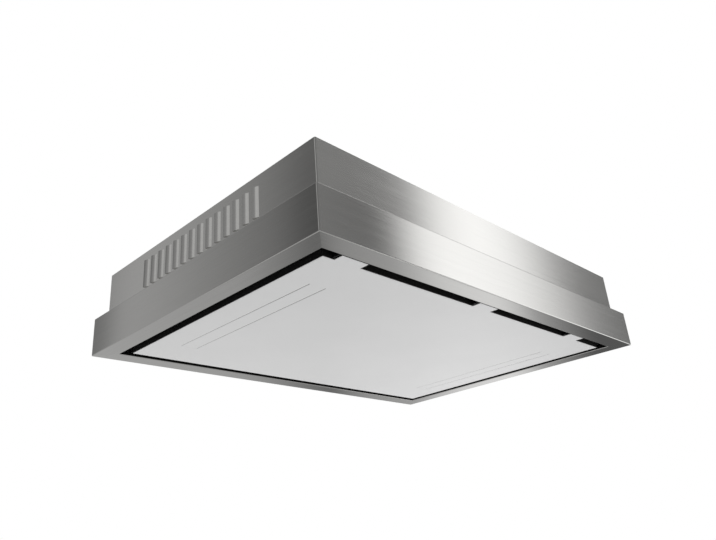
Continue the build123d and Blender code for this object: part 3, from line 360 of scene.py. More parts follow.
SETTINGS = {
    "hood_steel": HoodSteel,
    "hood_panel": HoodPanel,
    "hood_filter": HoodFilter,
    "hood_fittings": HoodFittings,
    "hood_studio": HoodStudio,
}


# ---------------------------------------------------------------- node and mesh helpers


def node(tree, kind, inputs=None, **settings):
    """Add a node, with its properties and with a value or a link for each named input."""
    made = tree.nodes.new("ShaderNode" + kind)
    for name, value in settings.items():
        setattr(made, name, value)
    for name, value in (inputs or {}).items():
        if isinstance(value, bpy.types.NodeSocket):
            tree.links.new(value, made.inputs[name])
        else:
            made.inputs[name].default_value = value
    return made


def maths(tree, operation, first, second=0.0, clamp=False):
    """Output of one Math node."""
    inputs = {0: first, 1: second}
    return node(tree, "Math", inputs, operation=operation, use_clamp=clamp).outputs[0]


def spread(tree, value, low, high, to_low=0.0, to_high=1.0, kind="LINEAR"):
    """Output of one Map Range node."""
    inputs = {"Value": value, "From Min": low, "From Max": high, "To Min": to_low, "To Max": to_high}
    return node(tree, "MapRange", inputs, interpolation_type=kind).outputs[0]


def blend_colours(tree, share, first, second, kind="MIX"):
    """Colour output of one Mix node."""
    made = node(tree, "Mix", data_type="RGBA", blend_type=kind)
    for index, value in ((0, share), (6, first), (7, second)):
        if isinstance(value, bpy.types.NodeSocket):
            tree.links.new(value, made.inputs[index])
        else:
            made.inputs[index].default_value = value
    return made.outputs[2]


def place_on_object(tree, scale=(1, 1, 1)):
    """Object coordinates, stretched by a Mapping node."""
    source = node(tree, "TexCoord").outputs["Object"]
    return node(tree, "Mapping", {"Vector": source, "Scale": scale}).outputs[0]


def noise(tree, vector, scale=1.0, detail=3.0, roughness=0.5):
    """Value output of one Noise node."""
    inputs = {"Vector": vector, "Scale": scale, "Detail": detail, "Roughness": roughness}
    return node(tree, "TexNoise", inputs).outputs[0]


def rgba(colour, gain=1.0):
    """A colour with its alpha, made lighter or darker."""
    return (*[min(1.0, channel * gain) for channel in colour[:3]], 1.0)


def new_material(name, metallic=0.0, specular=0.5, **uniform):
    """An empty material: its tree and its shader, with the values that are the same all over."""
    material = bpy.data.materials.new(name)
    material.use_nodes = True
    tree = material.node_tree
    shader = tree.nodes["Principled BSDF"]
    shader.inputs["Metallic"].default_value = metallic
    shader.inputs["Specular IOR Level"].default_value = specular
    for key, value in uniform.items():
        shader.inputs[key.replace("_", " ").title()].default_value = value
    return material, tree, shader


def drive(tree, shader, colour=None, roughness=None, height=None, depth=0.0001, strength=1.0):
    """Link a pattern to the shader's colour and roughness, and a height to its normal."""
    if colour is not None:
        tree.links.new(colour, shader.inputs["Base Color"])
    if roughness is not None:
        tree.links.new(roughness, shader.inputs["Roughness"])
    if height is not None:
        bump = node(tree, "Bump", {"Height": height, "Distance": depth, "Strength": strength})
        tree.links.new(bump.outputs[0], shader.inputs["Normal"])


def slab(shape, low, high, edge=0.0, steps=2):
    """Add a box between two opposite corners, with its edges rounded."""
    low, high = Vector(low), Vector(high)
    stretch = Matrix.Diagonal((*[abs(side) for side in high - low], 1.0))
    made = bmesh.ops.create_cube(shape, size=1.0, matrix=Matrix.Translation((low + high) / 2) @ stretch)
    if edge:
        edges = list({rim for corner in made["verts"] for rim in corner.link_edges})
        round_off(shape, edges, edge, steps)


def block(shape, centre, half, foot, top, edge=0.0, steps=2):
    """Add a box about an upright centre line, from half its plan and its two levels."""
    low = (centre.x - half[0], centre.y - half[1], foot)
    slab(shape, low, (centre.x + half[0], centre.y + half[1], top), edge, steps)


def corners_in(parts):
    """The corners among the parts that an operator made."""
    return [part for part in parts if isinstance(part, bmesh.types.BMVert)]


def edges_in(parts):
    """The edges among the parts that an operator made."""
    return [part for part in parts if isinstance(part, bmesh.types.BMEdge)]


def everything(shape):
    """All corners, edges and faces of a shape."""
    return shape.verts[:] + shape.edges[:] + shape.faces[:]


def sharp_edges(shape, angle):
    """Edges of a shape whose two faces turn by more than an angle."""
    return [edge for edge in shape.edges if edge.calc_face_angle(0) > angle]


def round_off(shape, edges, size, steps=2):
    """Round some edges of a shape."""
    bmesh.ops.bevel(
        shape,
        geom=edges,
        offset=size,
        affect="EDGES",
        segments=steps,
        profile=0.5,
        material=-1,
        clamp_overlap=True,
    )


def push(shape, outline, way):
    """Close an outline of points into a face and push it along a straight way."""
    face = shape.faces.new([shape.verts.new(point) for point in outline])
    pushed = bmesh.ops.extrude_face_region(shape, geom=[face])["geom"]
    bmesh.ops.translate(shape, vec=way, verts=corners_in(pushed))


def trim(shape, path, section):
    """Run a section of (outward, height) points along a flat path, mitred at its corners."""
    ways = [(end - start).normalized() for start, end in zip(path, path[1:])]
    cap = None
    for point, arriving, leaving in zip(path, ways[:1] + ways, ways + ways[-1:]):
        sides = Vector((arriving.y, -arriving.x)), Vector((leaving.y, -leaving.x))
        outward = (sides[0] + sides[1]) / (1 + sides[0].dot(sides[1]))
        spots = [(point.x + outward.x * out, point.y + outward.y * out, height) for out, height in section]
        if cap is None:
            cap = shape.faces.new([shape.verts.new(spot) for spot in spots])
            continue
        pushed = bmesh.ops.extrude_face_region(shape, geom=[cap])["geom"]
        if point != path[1]:
            bmesh.ops.delete(shape, geom=[cap], context="FACES_ONLY")
        cap = next(part for part in pushed if isinstance(part, bmesh.types.BMFace))
        for corner, spot in zip(cap.verts, spots):
            corner.co = spot


def turned(shape, profile, centre=(0, 0), steps=24):
    """Turn a profile of (radius, height) points about an upright axis."""
    points = [shape.verts.new((centre[0] + radius, centre[1], height)) for radius, height in profile]
    edges = [shape.edges.new(pair) for pair in zip(points, points[1:])]
    bmesh.ops.spin(
        shape,
        geom=points + edges,
        cent=(centre[0], centre[1], 0),
        axis=(0, 0, 1),
        angle=math.tau,
        steps=steps,
        use_merge=True,
    )
    bmesh.ops.remove_doubles(shape, verts=shape.verts, dist=SAME_POINT)


def dome(shape, radius, rise):
    """Add a domed head that stands at the origin."""
    profile = [
        (0, rise),
        (radius * 0.45, rise * 0.93),
        (radius * 0.80, rise * 0.66),
        (radius * 0.97, rise * 0.28),
        (radius, 0),
        (0, 0),
    ]
    turned(shape, profile, steps=20)


def pan_profile(head, rise):
    """Profile of a pan head from its flat top down, for a head that stands at height 0."""
    return [(0.60 * head, rise), (0.84 * head, 0.84 * rise), (head, 0.40 * rise), (head, 0), (0, 0)]


def cross_screw(shape, profile, arm, half, depth):
    """Turn a screw whose profile starts at the flat of its head, and press a cross into it."""
    taper = 0.62
    turned(shape, profile, steps=20)
    top = profile[0][1]
    rim = [edge for edge in shape.edges if edge.is_boundary]
    quarter = [Vector((half, half)), Vector((arm, half)), Vector((arm, -half))]
    spots = [Matrix.Rotation(index * math.pi / 2, 2) @ spot for index in range(4) for spot in quarter]
    spots.sort(key=lambda spot: math.atan2(spot.y, spot.x))
    cross = [shape.verts.new((*spot, top)) for spot in spots]
    outline = [shape.edges.new((corner, cross[index - 1])) for index, corner in enumerate(cross)]
    bmesh.ops.triangle_fill(shape, edges=rim + outline, use_beauty=True)
    sunk = bmesh.ops.extrude_edge_only(shape, edges=outline)["geom"]
    corners = corners_in(sunk)
    bmesh.ops.scale(shape, verts=corners, vec=(taper, taper, 1))
    bmesh.ops.translate(shape, verts=corners, vec=(0, 0, -depth))
    floor = [edge for edge in edges_in(sunk) if edge.is_boundary]
    bmesh.ops.triangle_fill(shape, edges=floor, use_beauty=True)


def take_in(shape, other):
    """Move all of another shape into a shape."""
    passing = bpy.data.meshes.new("passing")
    other.to_mesh(passing)
    other.free()
    shape.from_mesh(passing)
    bpy.data.meshes.remove(passing)


def repeat(shape, moves):
    """Copy all that the shape holds by each of the moves."""
    first = everything(shape)
    for move in moves:
        copied = bmesh.ops.duplicate(shape, geom=first)["geom"]
        bmesh.ops.transform(shape, matrix=move, verts=corners_in(copied))


def shifts(places):
    """Moves that take what stands at the first place to each of the others."""
    return [Matrix.Translation(place - places[0]) for place in places[1:]]


def stand(shape, places, turn=Matrix.Identity(4)):
    """Move what is at the origin, turned, to each of the places."""
    bmesh.ops.transform(shape, matrix=Matrix.Translation(places[0]) @ turn, verts=shape.verts)
    repeat(shape, shifts(places))


def feet(boxes):
    """Middle of each box's underside."""
    return [Vector(((low.x + high.x) / 2, (low.y + high.y) / 2, low.z)) for low, high in boxes]


def add_piece(name, shape, finish_name, body, slot, replaced=()):
    """Make a finished shape a piece of the hood, shaded smooth but for its creases."""
    crease = math.radians(35)
    bmesh.ops.remove_doubles(shape, verts=shape.verts, dist=SAME_POINT)
    bmesh.ops.recalc_face_normals(shape, faces=shape.faces)
    mesh = bpy.data.meshes.new(name)
    shape.to_mesh(mesh)
    shape.free()
    mesh.polygons.foreach_set("use_smooth", [True] * len(mesh.polygons))
    mesh.set_sharp_from_angle(angle=crease)
    mesh.materials.append(finish(finish_name))
    piece = bpy.data.objects.new(name, mesh)
    bpy.context.scene.collection.objects.link(piece)
    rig.ride(piece, body)
    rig.slot(piece, slot)
    if replaced:
        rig.replaces(piece, *replaced)


def solids(name):
    """Lowest and highest corner of each separate solid of a carried-over node, from left to right."""
    shape = bmesh.new()
    shape.from_mesh(frame["nodes"][name].data)
    bmesh.ops.remove_doubles(shape, verts=shape.verts, dist=0.001 * MM)
    waiting = set(shape.verts)
    boxes = []
    while waiting:
        reached = [waiting.pop()]
        for corner in reached:
            for edge in corner.link_edges:
                other = edge.other_vert(corner)
                if other in waiting:
                    waiting.discard(other)
                    reached.append(other)
        low = Vector([min(corner.co[axis] for corner in reached) for axis in range(3)])
        high = Vector([max(corner.co[axis] for corner in reached) for axis in range(3)])
        boxes.append((low, high))
    shape.free()
    return sorted(boxes, key=lambda box: (round(box[0].x, 4), round(box[0].y, 4), round(box[0].z, 4)))


# ---------------------------------------------------------------- finishes


def brushed_steel(name, along, tone=1.0, polish=0.0, bow=0.0):
    """Stainless sheet with its grain along one axis, and its sides drawn in by a slight bow."""
    steel = bpy.context.scene.hood_steel
    material, tree, shader = new_material(name, metallic=1.0, anisotropic=steel.anisotropy)
    lines = []
    for widths, length in ((1, 40 * MM), (3.5, 160 * MM), (16, 700 * MM)):
        scale = [1.0 / (widths * steel.grain)] * 3
        scale[along] = 1.0 / length
        lines.append(noise(tree, place_on_object(tree, scale), detail=2.0))
    cloud = noise(tree, place_on_object(tree, (4, 4, 4)), detail=2.0)
    shares = zip(lines, (0.50, 0.26, 0.24))
    fine, medium, broad = [maths(tree, "MULTIPLY", line, share) for line, share in shares]
    streaks = maths(tree, "ADD", maths(tree, "ADD", fine, medium), broad)
    # A tone below 1 darkens this copy of the steel: for the canopy it is painted shade.
    colour = rgba(steel.colour, tone)
    tint = blend_colours(tree, spread(tree, streaks, *NOISE_CORE), rgba(colour, 0.955), rgba(colour, 1.045))
    base, streak_rough, cloud_rough = steel.roughness - polish, 0.015, 0.008
    rough = maths(
        tree,
        "ADD",
        spread(tree, streaks, *NOISE_CORE, base - streak_rough, base + streak_rough),
        spread(tree, cloud, *NOISE_BAND, -cloud_rough, cloud_rough),
    )
    drive(tree, shader, tint, rough, streaks, depth=0.000012, strength=0.5)
    if bow:
        place = node(tree, "SeparateXYZ", {0: place_on_object(tree)}).outputs[along]
        lean = node(tree, "CombineXYZ", {along: maths(tree, "MULTIPLY", place, -bow)}).outputs[0]
        facing = node(tree, "NewGeometry").outputs["Normal"]
        leaning = node(tree, "VectorMath", {0: facing, 1: lean}, operation="ADD").outputs[0]
        turned_way = node(tree, "VectorMath", {0: leaning}, operation="NORMALIZE").outputs[0]
        bump = shader.inputs["Normal"].links[0].from_node
        tree.links.new(turned_way, bump.inputs["Normal"])
    tangent = node(tree, "Tangent", direction_type="RADIAL", axis="XYZ"[along])
    tree.links.new(tangent.outputs[0], shader.inputs["Tangent"])
    return material


def canopy_steel(name, along):
    """The canopy's own sheet, darker and glossier, drawn in on its long sides and full on its short ones."""
    steel = bpy.context.scene.hood_steel
    # The canopy's short sides get a little more painted shade than its long ones.
    bow_share, canopy_shade_share = (1.0, 1.0) if along == 0 else (-0.25, 0.96)
    bow, tone = steel.canopy_bow * bow_share, steel.canopy_shade_tone * canopy_shade_share
    return brushed_steel(name, along, tone=tone, polish=0.045, bow=bow)


def powder_coat(name):
    """White powder coat with its fine orange peel."""
    panel = bpy.context.scene.hood_panel
    material, tree, shader = new_material(name, specular=0.5, coat_weight=0.15, coat_roughness=0.35)
    peel = noise(tree, place_on_object(tree), scale=1.0 / panel.peel, detail=2.0)
    cloud = noise(tree, place_on_object(tree), scale=7.0, detail=3.0)
    dull, clean = rgba(panel.colour, 0.985), rgba(panel.colour, 1.01)
    colour = blend_colours(tree, spread(tree, cloud, *NOISE_BAND), dull, clean)
    rough = spread(tree, peel, *NOISE_BAND, 0.36, 0.46)
    drive(tree, shader, colour, rough, peel, depth=0.00003, strength=0.6)
    return material


def zinc_sheet(name):
    """Galvanised sheet with a dull spangle, whose cells have ragged edges."""
    tone, ragged_by = (0.50, 0.515, 0.53), 7 * MM
    material, tree, shader = new_material(name, metallic=1.0)
    flat = place_on_object(tree)
    stray = node(tree, "TexNoise", {"Vector": flat, "Scale": 260.0, "Detail": 3.0}).outputs["Color"]
    ragged = node(tree, "VectorMath", {0: stray, "Scale": ragged_by}, operation="SCALE").outputs[0]
    edge = node(tree, "VectorMath", {0: flat, 1: ragged}, operation="ADD").outputs[0]
    spangles = []
    for scale in (75.0, 190.0):
        cells = node(tree, "TexVoronoi", {"Vector": edge, "Scale": scale, "Randomness": 1.0})
        spangles.append(node(tree, "SeparateColor", {"Color": cells.outputs["Color"]}).outputs[0])
    grain = noise(tree, flat, scale=900.0, detail=3.0)
    shares = zip((*spangles, grain), (0.42, 0.30, 0.28))
    large, small, fine = [maths(tree, "MULTIPLY", pattern, share) for pattern, share in shares]
    mixed = maths(tree, "ADD", maths(tree, "ADD", large, small), fine)
    colour = blend_colours(tree, mixed, rgba(tone, 0.84), rgba(tone, 1.12))
    rough = spread(tree, mixed, 0.1, 0.9, 0.34, 0.50)
    drive(tree, shader, colour, rough, mixed, depth=0.00003, strength=0.3)
    return material


def bright_zinc(name):
    """Bright zinc plate on small steel parts, with a faint blue and straw cast."""
    material, tree, shader = new_material(name, metallic=1.0)
    cast = noise(tree, place_on_object(tree), scale=120.0, detail=2.0)
    fine = noise(tree, place_on_object(tree), scale=1500.0, detail=2.0)
    blue, straw = (0.63, 0.645, 0.665, 1), (0.68, 0.67, 0.64, 1)
    colour = blend_colours(tree, spread(tree, cast, *NOISE_CORE), blue, straw)
    rough = spread(tree, fine, *NOISE_BAND, 0.22, 0.36)
    drive(tree, shader, colour, rough, fine, depth=0.00001, strength=0.5)
    return material


def satin_aluminium(name):
    """Rolled aluminium with faint drawing lines."""
    material, tree, shader = new_material(name, metallic=1.0)
    lines = noise(tree, place_on_object(tree, (900, 14, 900)), detail=2.0)
    cloud = noise(tree, place_on_object(tree), scale=25.0, detail=2.0)
    dark, bright = (0.66, 0.66, 0.67, 1), (0.78, 0.78, 0.79, 1)
    colour = blend_colours(tree, spread(tree, lines, *NOISE_BAND), dark, bright)
    rough = spread(tree, cloud, *NOISE_BAND, 0.28, 0.40)
    drive(tree, shader, colour, rough, lines, depth=0.00001, strength=0.5)
    return material


def moulded_plastic(name, colour, roughness, texture=2600.0, relief=0.00002):
    """Moulded plastic with the fine etched texture of its tool."""
    rough_play = 0.06
    material, tree, shader = new_material(name, specular=0.45)
    etch = noise(tree, place_on_object(tree), scale=texture, detail=2.0)
    cloud = noise(tree, place_on_object(tree), scale=60.0, detail=2.0)
    tint = blend_colours(tree, spread(tree, cloud, *NOISE_BAND), rgba(colour, 0.93), rgba(colour, 1.05))
    rough = spread(tree, etch, *NOISE_BAND, roughness - rough_play, roughness + rough_play)
    drive(tree, shader, tint, rough, etch, depth=relief, strength=0.7)
    return material


def cast_metal(name, colour, roughness, scale):
    """Cast or sintered metal with a fine pitted skin."""
    material, tree, shader = new_material(name, metallic=0.85)
    pits = noise(tree, place_on_object(tree), scale=scale, detail=4.0, roughness=0.6)
    tint = blend_colours(tree, spread(tree, pits, *NOISE_CORE), rgba(colour, 0.80), rgba(colour, 1.10))
    rough = spread(tree, pits, *NOISE_BAND, roughness + 0.08, roughness - 0.05)
    drive(tree, shader, tint, rough, pits, depth=0.0001, strength=0.5)
    return material


def stacked_iron(name):
    """Varnished iron sheets, stacked upwards, with a dark line between each two."""
    sheet_half, line_half = 0.5 * MM, 0.18 * MM
    varnish, dark, bright = (0.05, 0.045, 0.04, 1), (0.15, 0.135, 0.125, 1), (0.24, 0.23, 0.22, 1)
    material, tree, shader = new_material(name, metallic=0.7)
    height = node(tree, "SeparateXYZ", {0: place_on_object(tree)}).outputs[2]
    sheets = maths(tree, "PINGPONG", height, sheet_half)
    edge = spread(tree, sheets, 0.0, line_half)
    stain = noise(tree, place_on_object(tree), scale=180.0, detail=3.0)
    iron = blend_colours(tree, spread(tree, stain, *NOISE_BAND), dark, bright)
    colour = blend_colours(tree, edge, varnish, iron)
    drive(tree, shader, colour, spread(tree, stain, *NOISE_BAND, 0.35, 0.5), edge, depth=0.0001, strength=0.6)
    return material


def packed_granules(name):
    """Active carbon granules behind the filter's bars."""
    material, tree, shader = new_material(name, specular=0.4)
    cells = node(tree, "TexVoronoi", {"Vector": place_on_object(tree), "Scale": 420.0})
    distance = cells.outputs["Distance"]
    shine = node(tree, "SeparateColor", {"Color": cells.outputs["Color"]}).outputs[1]
    # gap is painted shade between the granules; crown is the granules' own black.
    crown, gap = (0.055, 0.055, 0.055, 1), (0.008, 0.008, 0.008, 1)
    colour = blend_colours(tree, spread(tree, distance, 0.1, 0.6), crown, gap)
    height = maths(tree, "SUBTRACT", 1.0, distance)
    drive(tree, shader, colour, spread(tree, shine, 0.0, 1.0, 0.35, 0.75), height, depth=0.001)
    return material


def opal_diffuser(name):
    """Opal plastic of the light bars' covers."""
    material, tree, shader = new_material(name, specular=0.5)
    haze = noise(tree, place_on_object(tree), scale=900.0, detail=2.0)
    clear, cloudy = (0.79, 0.79, 0.79, 1), (0.81, 0.81, 0.81, 1)
    colour = blend_colours(tree, spread(tree, haze, *NOISE_BAND), clear, cloudy)
    drive(tree, shader, colour, spread(tree, haze, *NOISE_BAND, 0.34, 0.44), haze, depth=0.00001)
    return material


def rubber(name):
    """Black rubber with a bloomed, slightly dusty skin."""
    material, tree, shader = new_material(name, specular=0.25)
    bloom = noise(tree, place_on_object(tree), scale=240.0, detail=4.0)
    black, dusty = (0.004, 0.004, 0.004, 1), (0.012, 0.012, 0.011, 1)
    colour = blend_colours(tree, spread(tree, bloom, 0.35, 0.7), black, dusty)
    drive(tree, shader, colour, spread(tree, bloom, *NOISE_BAND, 0.62, 0.8), bloom, depth=0.00006)
    return material


def joint_foam(name):
    """Dark foam in the light bars' joints, greyed by dust away from the hinged side."""
    material, tree, shader = new_material(name, specular=0.25)
    low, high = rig.box("led_diffusers")
    place = node(tree, "SeparateXYZ", {0: place_on_object(tree)}).outputs[1]
    # Painted shade: the foam's dark fades to grey along the bar, away from the hinged side.
    shade_fade = spread(tree, place, low.y, high.y)
    pores = noise(tree, place_on_object(tree), scale=900.0, detail=3.0)
    # dusty is the pale grey that the painted shade fades to.
    pore, skin, dusty = (0.003, 0.003, 0.003, 1), (0.009, 0.009, 0.009, 1), (0.38, 0.38, 0.375, 1)
    colour = blend_colours(tree, shade_fade, blend_colours(tree, pores, pore, skin), dusty)
    drive(tree, shader, colour, spread(tree, pores, *NOISE_BAND, 0.75, 0.9), pores, depth=0.00008)
    return material


def circuit_board(name):
    """Green solder mask with paler copper tracks under it."""
    material, tree, shader = new_material(name, specular=0.5)
    squares = node(
        tree,
        "TexBrick",
        {"Vector": place_on_object(tree, (220, 220, 220)), "Scale": 1.0, "Mortar Size": 0.09},
    ).outputs["Fac"]
    dark, pale, track = (0.012, 0.085, 0.03, 1), (0.02, 0.12, 0.045, 1), (0.035, 0.20, 0.07, 1)
    fibre = noise(tree, place_on_object(tree, (1400, 1400, 1400)), detail=1.0)
    colour = blend_colours(tree, squares, blend_colours(tree, fibre, dark, pale), track)
    drive(tree, shader, colour, spread(tree, fibre, *NOISE_BAND, 0.24, 0.34), squares, depth=0.00004)
    return material


def enamelled_copper(name):
    """Copper wire, enamelled and wound side by side."""
    material, tree, shader = new_material(name, metallic=0.9, specular=0.5)
    wires = node(
        tree,
        "TexWave",
        {"Vector": place_on_object(tree), "Scale": 260.0, "Distortion": 0.4},
        bands_direction="Z",
    ).outputs["Fac"]
    stain = noise(tree, place_on_object(tree), scale=150.0, detail=2.0)
    # gap is painted shade in the crevice between two turns of wire.
    gap, dark, bright = (0.13, 0.04, 0.015, 1), (0.52, 0.20, 0.075, 1), (0.66, 0.29, 0.12, 1)
    colour = blend_colours(tree, wires, gap, blend_colours(tree, stain, dark, bright))
    drive(tree, shader, colour, spread(tree, stain, *NOISE_BAND, 0.26, 0.4), wires, depth=0.0003)
    return material


FINISHES = {
    "steel_long": lambda name: brushed_steel(name, along=0),
    "steel_short": lambda name: brushed_steel(name, along=1),
    "canopy_long": lambda name: canopy_steel(name, along=0),
    "canopy_short": lambda name: canopy_steel(name, along=1),
    "panel_coat": powder_coat,
    "zinc_sheet": zinc_sheet,
    "bright_zinc": bright_zinc,
    "black_zinc": lambda name: cast_metal(name, (0.016, 0.016, 0.018), 0.42, 1200.0),
    "brass": lambda name: cast_metal(name, (0.56, 0.41, 0.17), 0.30, 1500.0),
    "aluminium": satin_aluminium,
    "latch_plastic": lambda name: moulded_plastic(name, (0.05, 0.05, 0.053), 0.48),
    "magnet_ferrite": lambda name: cast_metal(name, (0.045, 0.045, 0.05), 0.55, 900.0),
    "opal": opal_diffuser,
    "impeller_plastic": lambda name: moulded_plastic(name, (0.022, 0.022, 0.024), 0.42, 1800.0),
    "rotor_casting": lambda name: cast_metal(name, (0.52, 0.52, 0.53), 0.42, 700.0),
    "stacked_iron": stacked_iron,
    "rubber": rubber,
    "joint_foam": joint_foam,
    "granules": packed_granules,
    "copper": enamelled_copper,
    "relay_plastic": lambda name: moulded_plastic(name, (0.02, 0.055, 0.16), 0.36),
    "winding_tape": lambda name: moulded_plastic(name, (0.55, 0.40, 0.06), 0.42, 900.0),
    "sleeve": lambda name: moulded_plastic(name, (0.02, 0.022, 0.03), 0.30),
    "box_plastic": lambda name: moulded_plastic(name, (0.60, 0.61, 0.61), 0.46),
    "circuit_board": circuit_board,
    "white_plastic": lambda name: moulded_plastic(name, (0.72, 0.71, 0.66), 0.30, 3200.0, 0.00001),
    "gland_nylon": lambda name: moulded_plastic(name, (0.018, 0.018, 0.018), 0.38),
}


def finish(name):
    """The material of one finish, made when it is first asked for."""
    known = bpy.data.materials.get(f"hood_{name}")
    return known or FINISHES[name](f"hood_{name}")


def dress(finish_name, *nodes):
    """Give carried-over nodes their finish through their material slots."""
    for name in nodes:
        slots = frame["nodes"][name].material_slots
        if not slots:
            raise RuntimeError(f"{name} has no material slot")
        for slot in slots:
            slot.material = finish(finish_name)


# ---------------------------------------------------------------- operators


class DressSheets(bpy.types.Operator):
    """Brush the canopy and casing, each side along its own length, and finish the plain sheets."""

    bl_idname = "hood.dress_sheets"
    bl_label = "Sheet metal"

    def execute(self, context):
        dress("canopy_long", "canopy_front", "canopy_rear")
        dress("canopy_short", "canopy_left", "canopy_right")
        dress("steel_long", "casing_front", "casing_rear")
        dress("steel_short", "casing_louvred_side", "casing_plain_side")
        dress("zinc_sheet", "top_plate", "mounting_rails", "filter_plate", "corner_gussets")
        dress("zinc_sheet", "blower_top_plate", "blower_scroll", "blower_base_plate", "inlet_ring")
        dress("zinc_sheet", "outlet_duct", "panel_stiffeners", "catch_brackets")
        return {"FINISHED"}


class DressPanel(bpy.types.Operator):
    """Coat the suction panel and finish its light bars."""

    bl_idname = "hood.dress_panel"
    bl_label = "Suction panel"

    def execute(self, context):
        dress("panel_coat", "suction_panel")
        dress("opal", "led_diffusers")
        dress("aluminium", "led_housings")
        dress("white_plastic", "led_strips")
        return {"FINISHED"}


class DressFittings(bpy.types.Operator):
    """Finish the hinges, catches, filters and fasteners."""

    bl_idname = "hood.dress_fittings"
    bl_label = "Fittings and filters"

    def execute(self, context):
        dress("black_zinc", "hinge_knuckles", "hinge_brackets", "hinge_pins")
        dress("bright_zinc", "strike_plates", "lead_clips", "motor_bearings", "motor_shaft")
        dress("bright_zinc", "frame_rivets", "top_plate_screws", "motor_screws")
        dress("aluminium", "filter_frame_left", "filter_frame_right", "filter_mesh_left", "filter_mesh_right")
        dress("aluminium", "carbon_filter_frame")
        dress("latch_plastic", "filter_latch_left", "filter_latch_right")
        dress("magnet_ferrite", "catch_magnets")
        return {"FINISHED"}


class DressBlower(bpy.types.Operator):
    """Finish the blower, its motor and the carbon filter."""

    bl_idname = "hood.dress_blower"
    bl_label = "Blower"

    def execute(self, context):
        dress("impeller_plastic", "impeller")
        dress("rotor_casting", "rotor_can")
        dress("stacked_iron", "motor_stator")
        dress("rubber", "blower_isolators", "outlet_gasket", "motor_lead")
        dress("granules", "carbon_media")
        return {"FINISHED"}


class DressElectrics(bpy.types.Operator):
    """Finish the control box and what it holds."""

    bl_idname = "hood.dress_electrics"
    bl_label = "Electrics"

    def execute(self, context):
        dress("box_plastic", "control_box", "control_lid", "led_driver")
        dress("circuit_board", "control_board")
        dress("white_plastic", "run_capacitor", "terminal_block", "motor_connector")
        dress("gland_nylon", "cable_gland")
        return {"FINISHED"}


# ---------------------------------------------------------------- new pieces on the panel


class SealPanelEdge(bpy.types.Operator):
    """Clip a black rubber profile over the panel's upturned edge, open at each hinge tongue."""

    bl_idname = "hood.seal_panel_edge"
    bl_label = "Panel edge seal"

    def execute(self, context):
        thick = context.scene.hood_fittings.seal
        lap, lift, room = 3 * MM, 0.8 * MM, 3 * MM
        low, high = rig.box("suction_panel")
        # The tongues reach past the near edge, so it is taken from the far edge across the middle.
        near, far = -high.y, high.y
        leaves = solids("hinge_knuckles")
        starts = [leaf[1].x + room for leaf in leaves]
        ends = [leaf[0].x - room for leaf in leaves]
        corners = [(high.x, near), (high.x, far), (low.x, far), (low.x, near)]
        around = [(starts[-1], near), *corners, (ends[0], near)]
        between = [[(start, near), (end, near)] for start, end in zip(starts, ends[1:])]
        foot, crown = low.z + lift, high.z
        top = crown + thick
        section = [(thick, foot), (thick, top), (-lap, top), (-lap, crown), (0, crown), (0, foot)]
        shape = bmesh.new()
        for path in (around, *between):
            trim(shape, [Vector(point) for point in path], section)
        # The profile's black is partly a real rubber seal and partly painted shade on the edge inside the slot.
        add_piece("panel_edge_shade_seal", shape, "rubber", "panel", "rubber_black")
        return {"FINISHED"}


class SealLightBars(bpy.types.Operator):
    """Lay a dark foam line in the joint along each light bar."""

    bl_idname = "hood.seal_light_bars"
    bl_label = "Light bar gaskets"

    def execute(self, context):
        lens_half, window_half, play = 17.1 * MM, 18.5 * MM, 0.05 * MM
        ledge, depth, end_gap = 1.0 * MM, 0.8 * MM, 3 * MM
        shape = bmesh.new()
        for low, high in solids("led_diffusers"):
            middle, top = (low.x + high.x) / 2, low.z + ledge
            for way in (-1, 1):
                inner, outer = middle + way * (lens_half + play), middle + way * (window_half - play)
                slab(shape, (inner, low.y + end_gap, top - depth), (outer, high.y - end_gap, top))
        add_piece("light_bar_shade_gaskets", shape, "joint_foam", "panel", "rubber_black")
        return {"FINISHED"}


class CapLightHousings(bpy.types.Operator):
    """Close each light bar's housing with two moulded end caps, screwed on."""

    bl_idname = "hood.cap_light_housings"
    bl_label = "Light housing end caps"

    def execute(self, context):
        thick, lap, boss, bead, screw_gap = 2.0 * MM, 0.8 * MM, 5.0 * MM, 0.6 * MM, 14 * MM
        caps, screws = bmesh.new(), []
        for low, high in solids("led_housings"):
            middle, level = (low.x + high.x) / 2, (low.z + high.z) / 2
            for edge, way in ((low.y, -1), (high.y, 1)):
                face = edge + way * thick
                slab(caps, (low.x - lap, edge, low.z), (high.x + lap, face, high.z + lap), bead)
                spout = (middle - boss, face - way * bead, level - boss / 2)
                slab(caps, spout, (middle + boss, face + way * thick, level + boss / 2), bead)
                for side in (-1, 1):
                    screws.append((Vector((middle + side * screw_gap, face, level)), way))
        add_piece("light_housing_caps", caps, "latch_plastic", "panel", "latch_grey")

        head, rise, half, depth = 2.4 * MM, 1.2 * MM, 0.3 * MM, 0.7 * MM
        arm = 0.55 * head
        heads = bmesh.new()
        for place, way in screws:
            screw = bmesh.new()
            cross_screw(screw, pan_profile(head, rise), arm, half, depth)
            turn = Matrix.Rotation(-way * math.pi / 2, 4, "X")
            bmesh.ops.transform(screw, matrix=Matrix.Translation(place) @ turn, verts=screw.verts)
            take_in(heads, screw)
        add_piece("light_housing_screws", heads, "bright_zinc", "panel", "zinc_plated")
        return {"FINISHED"}


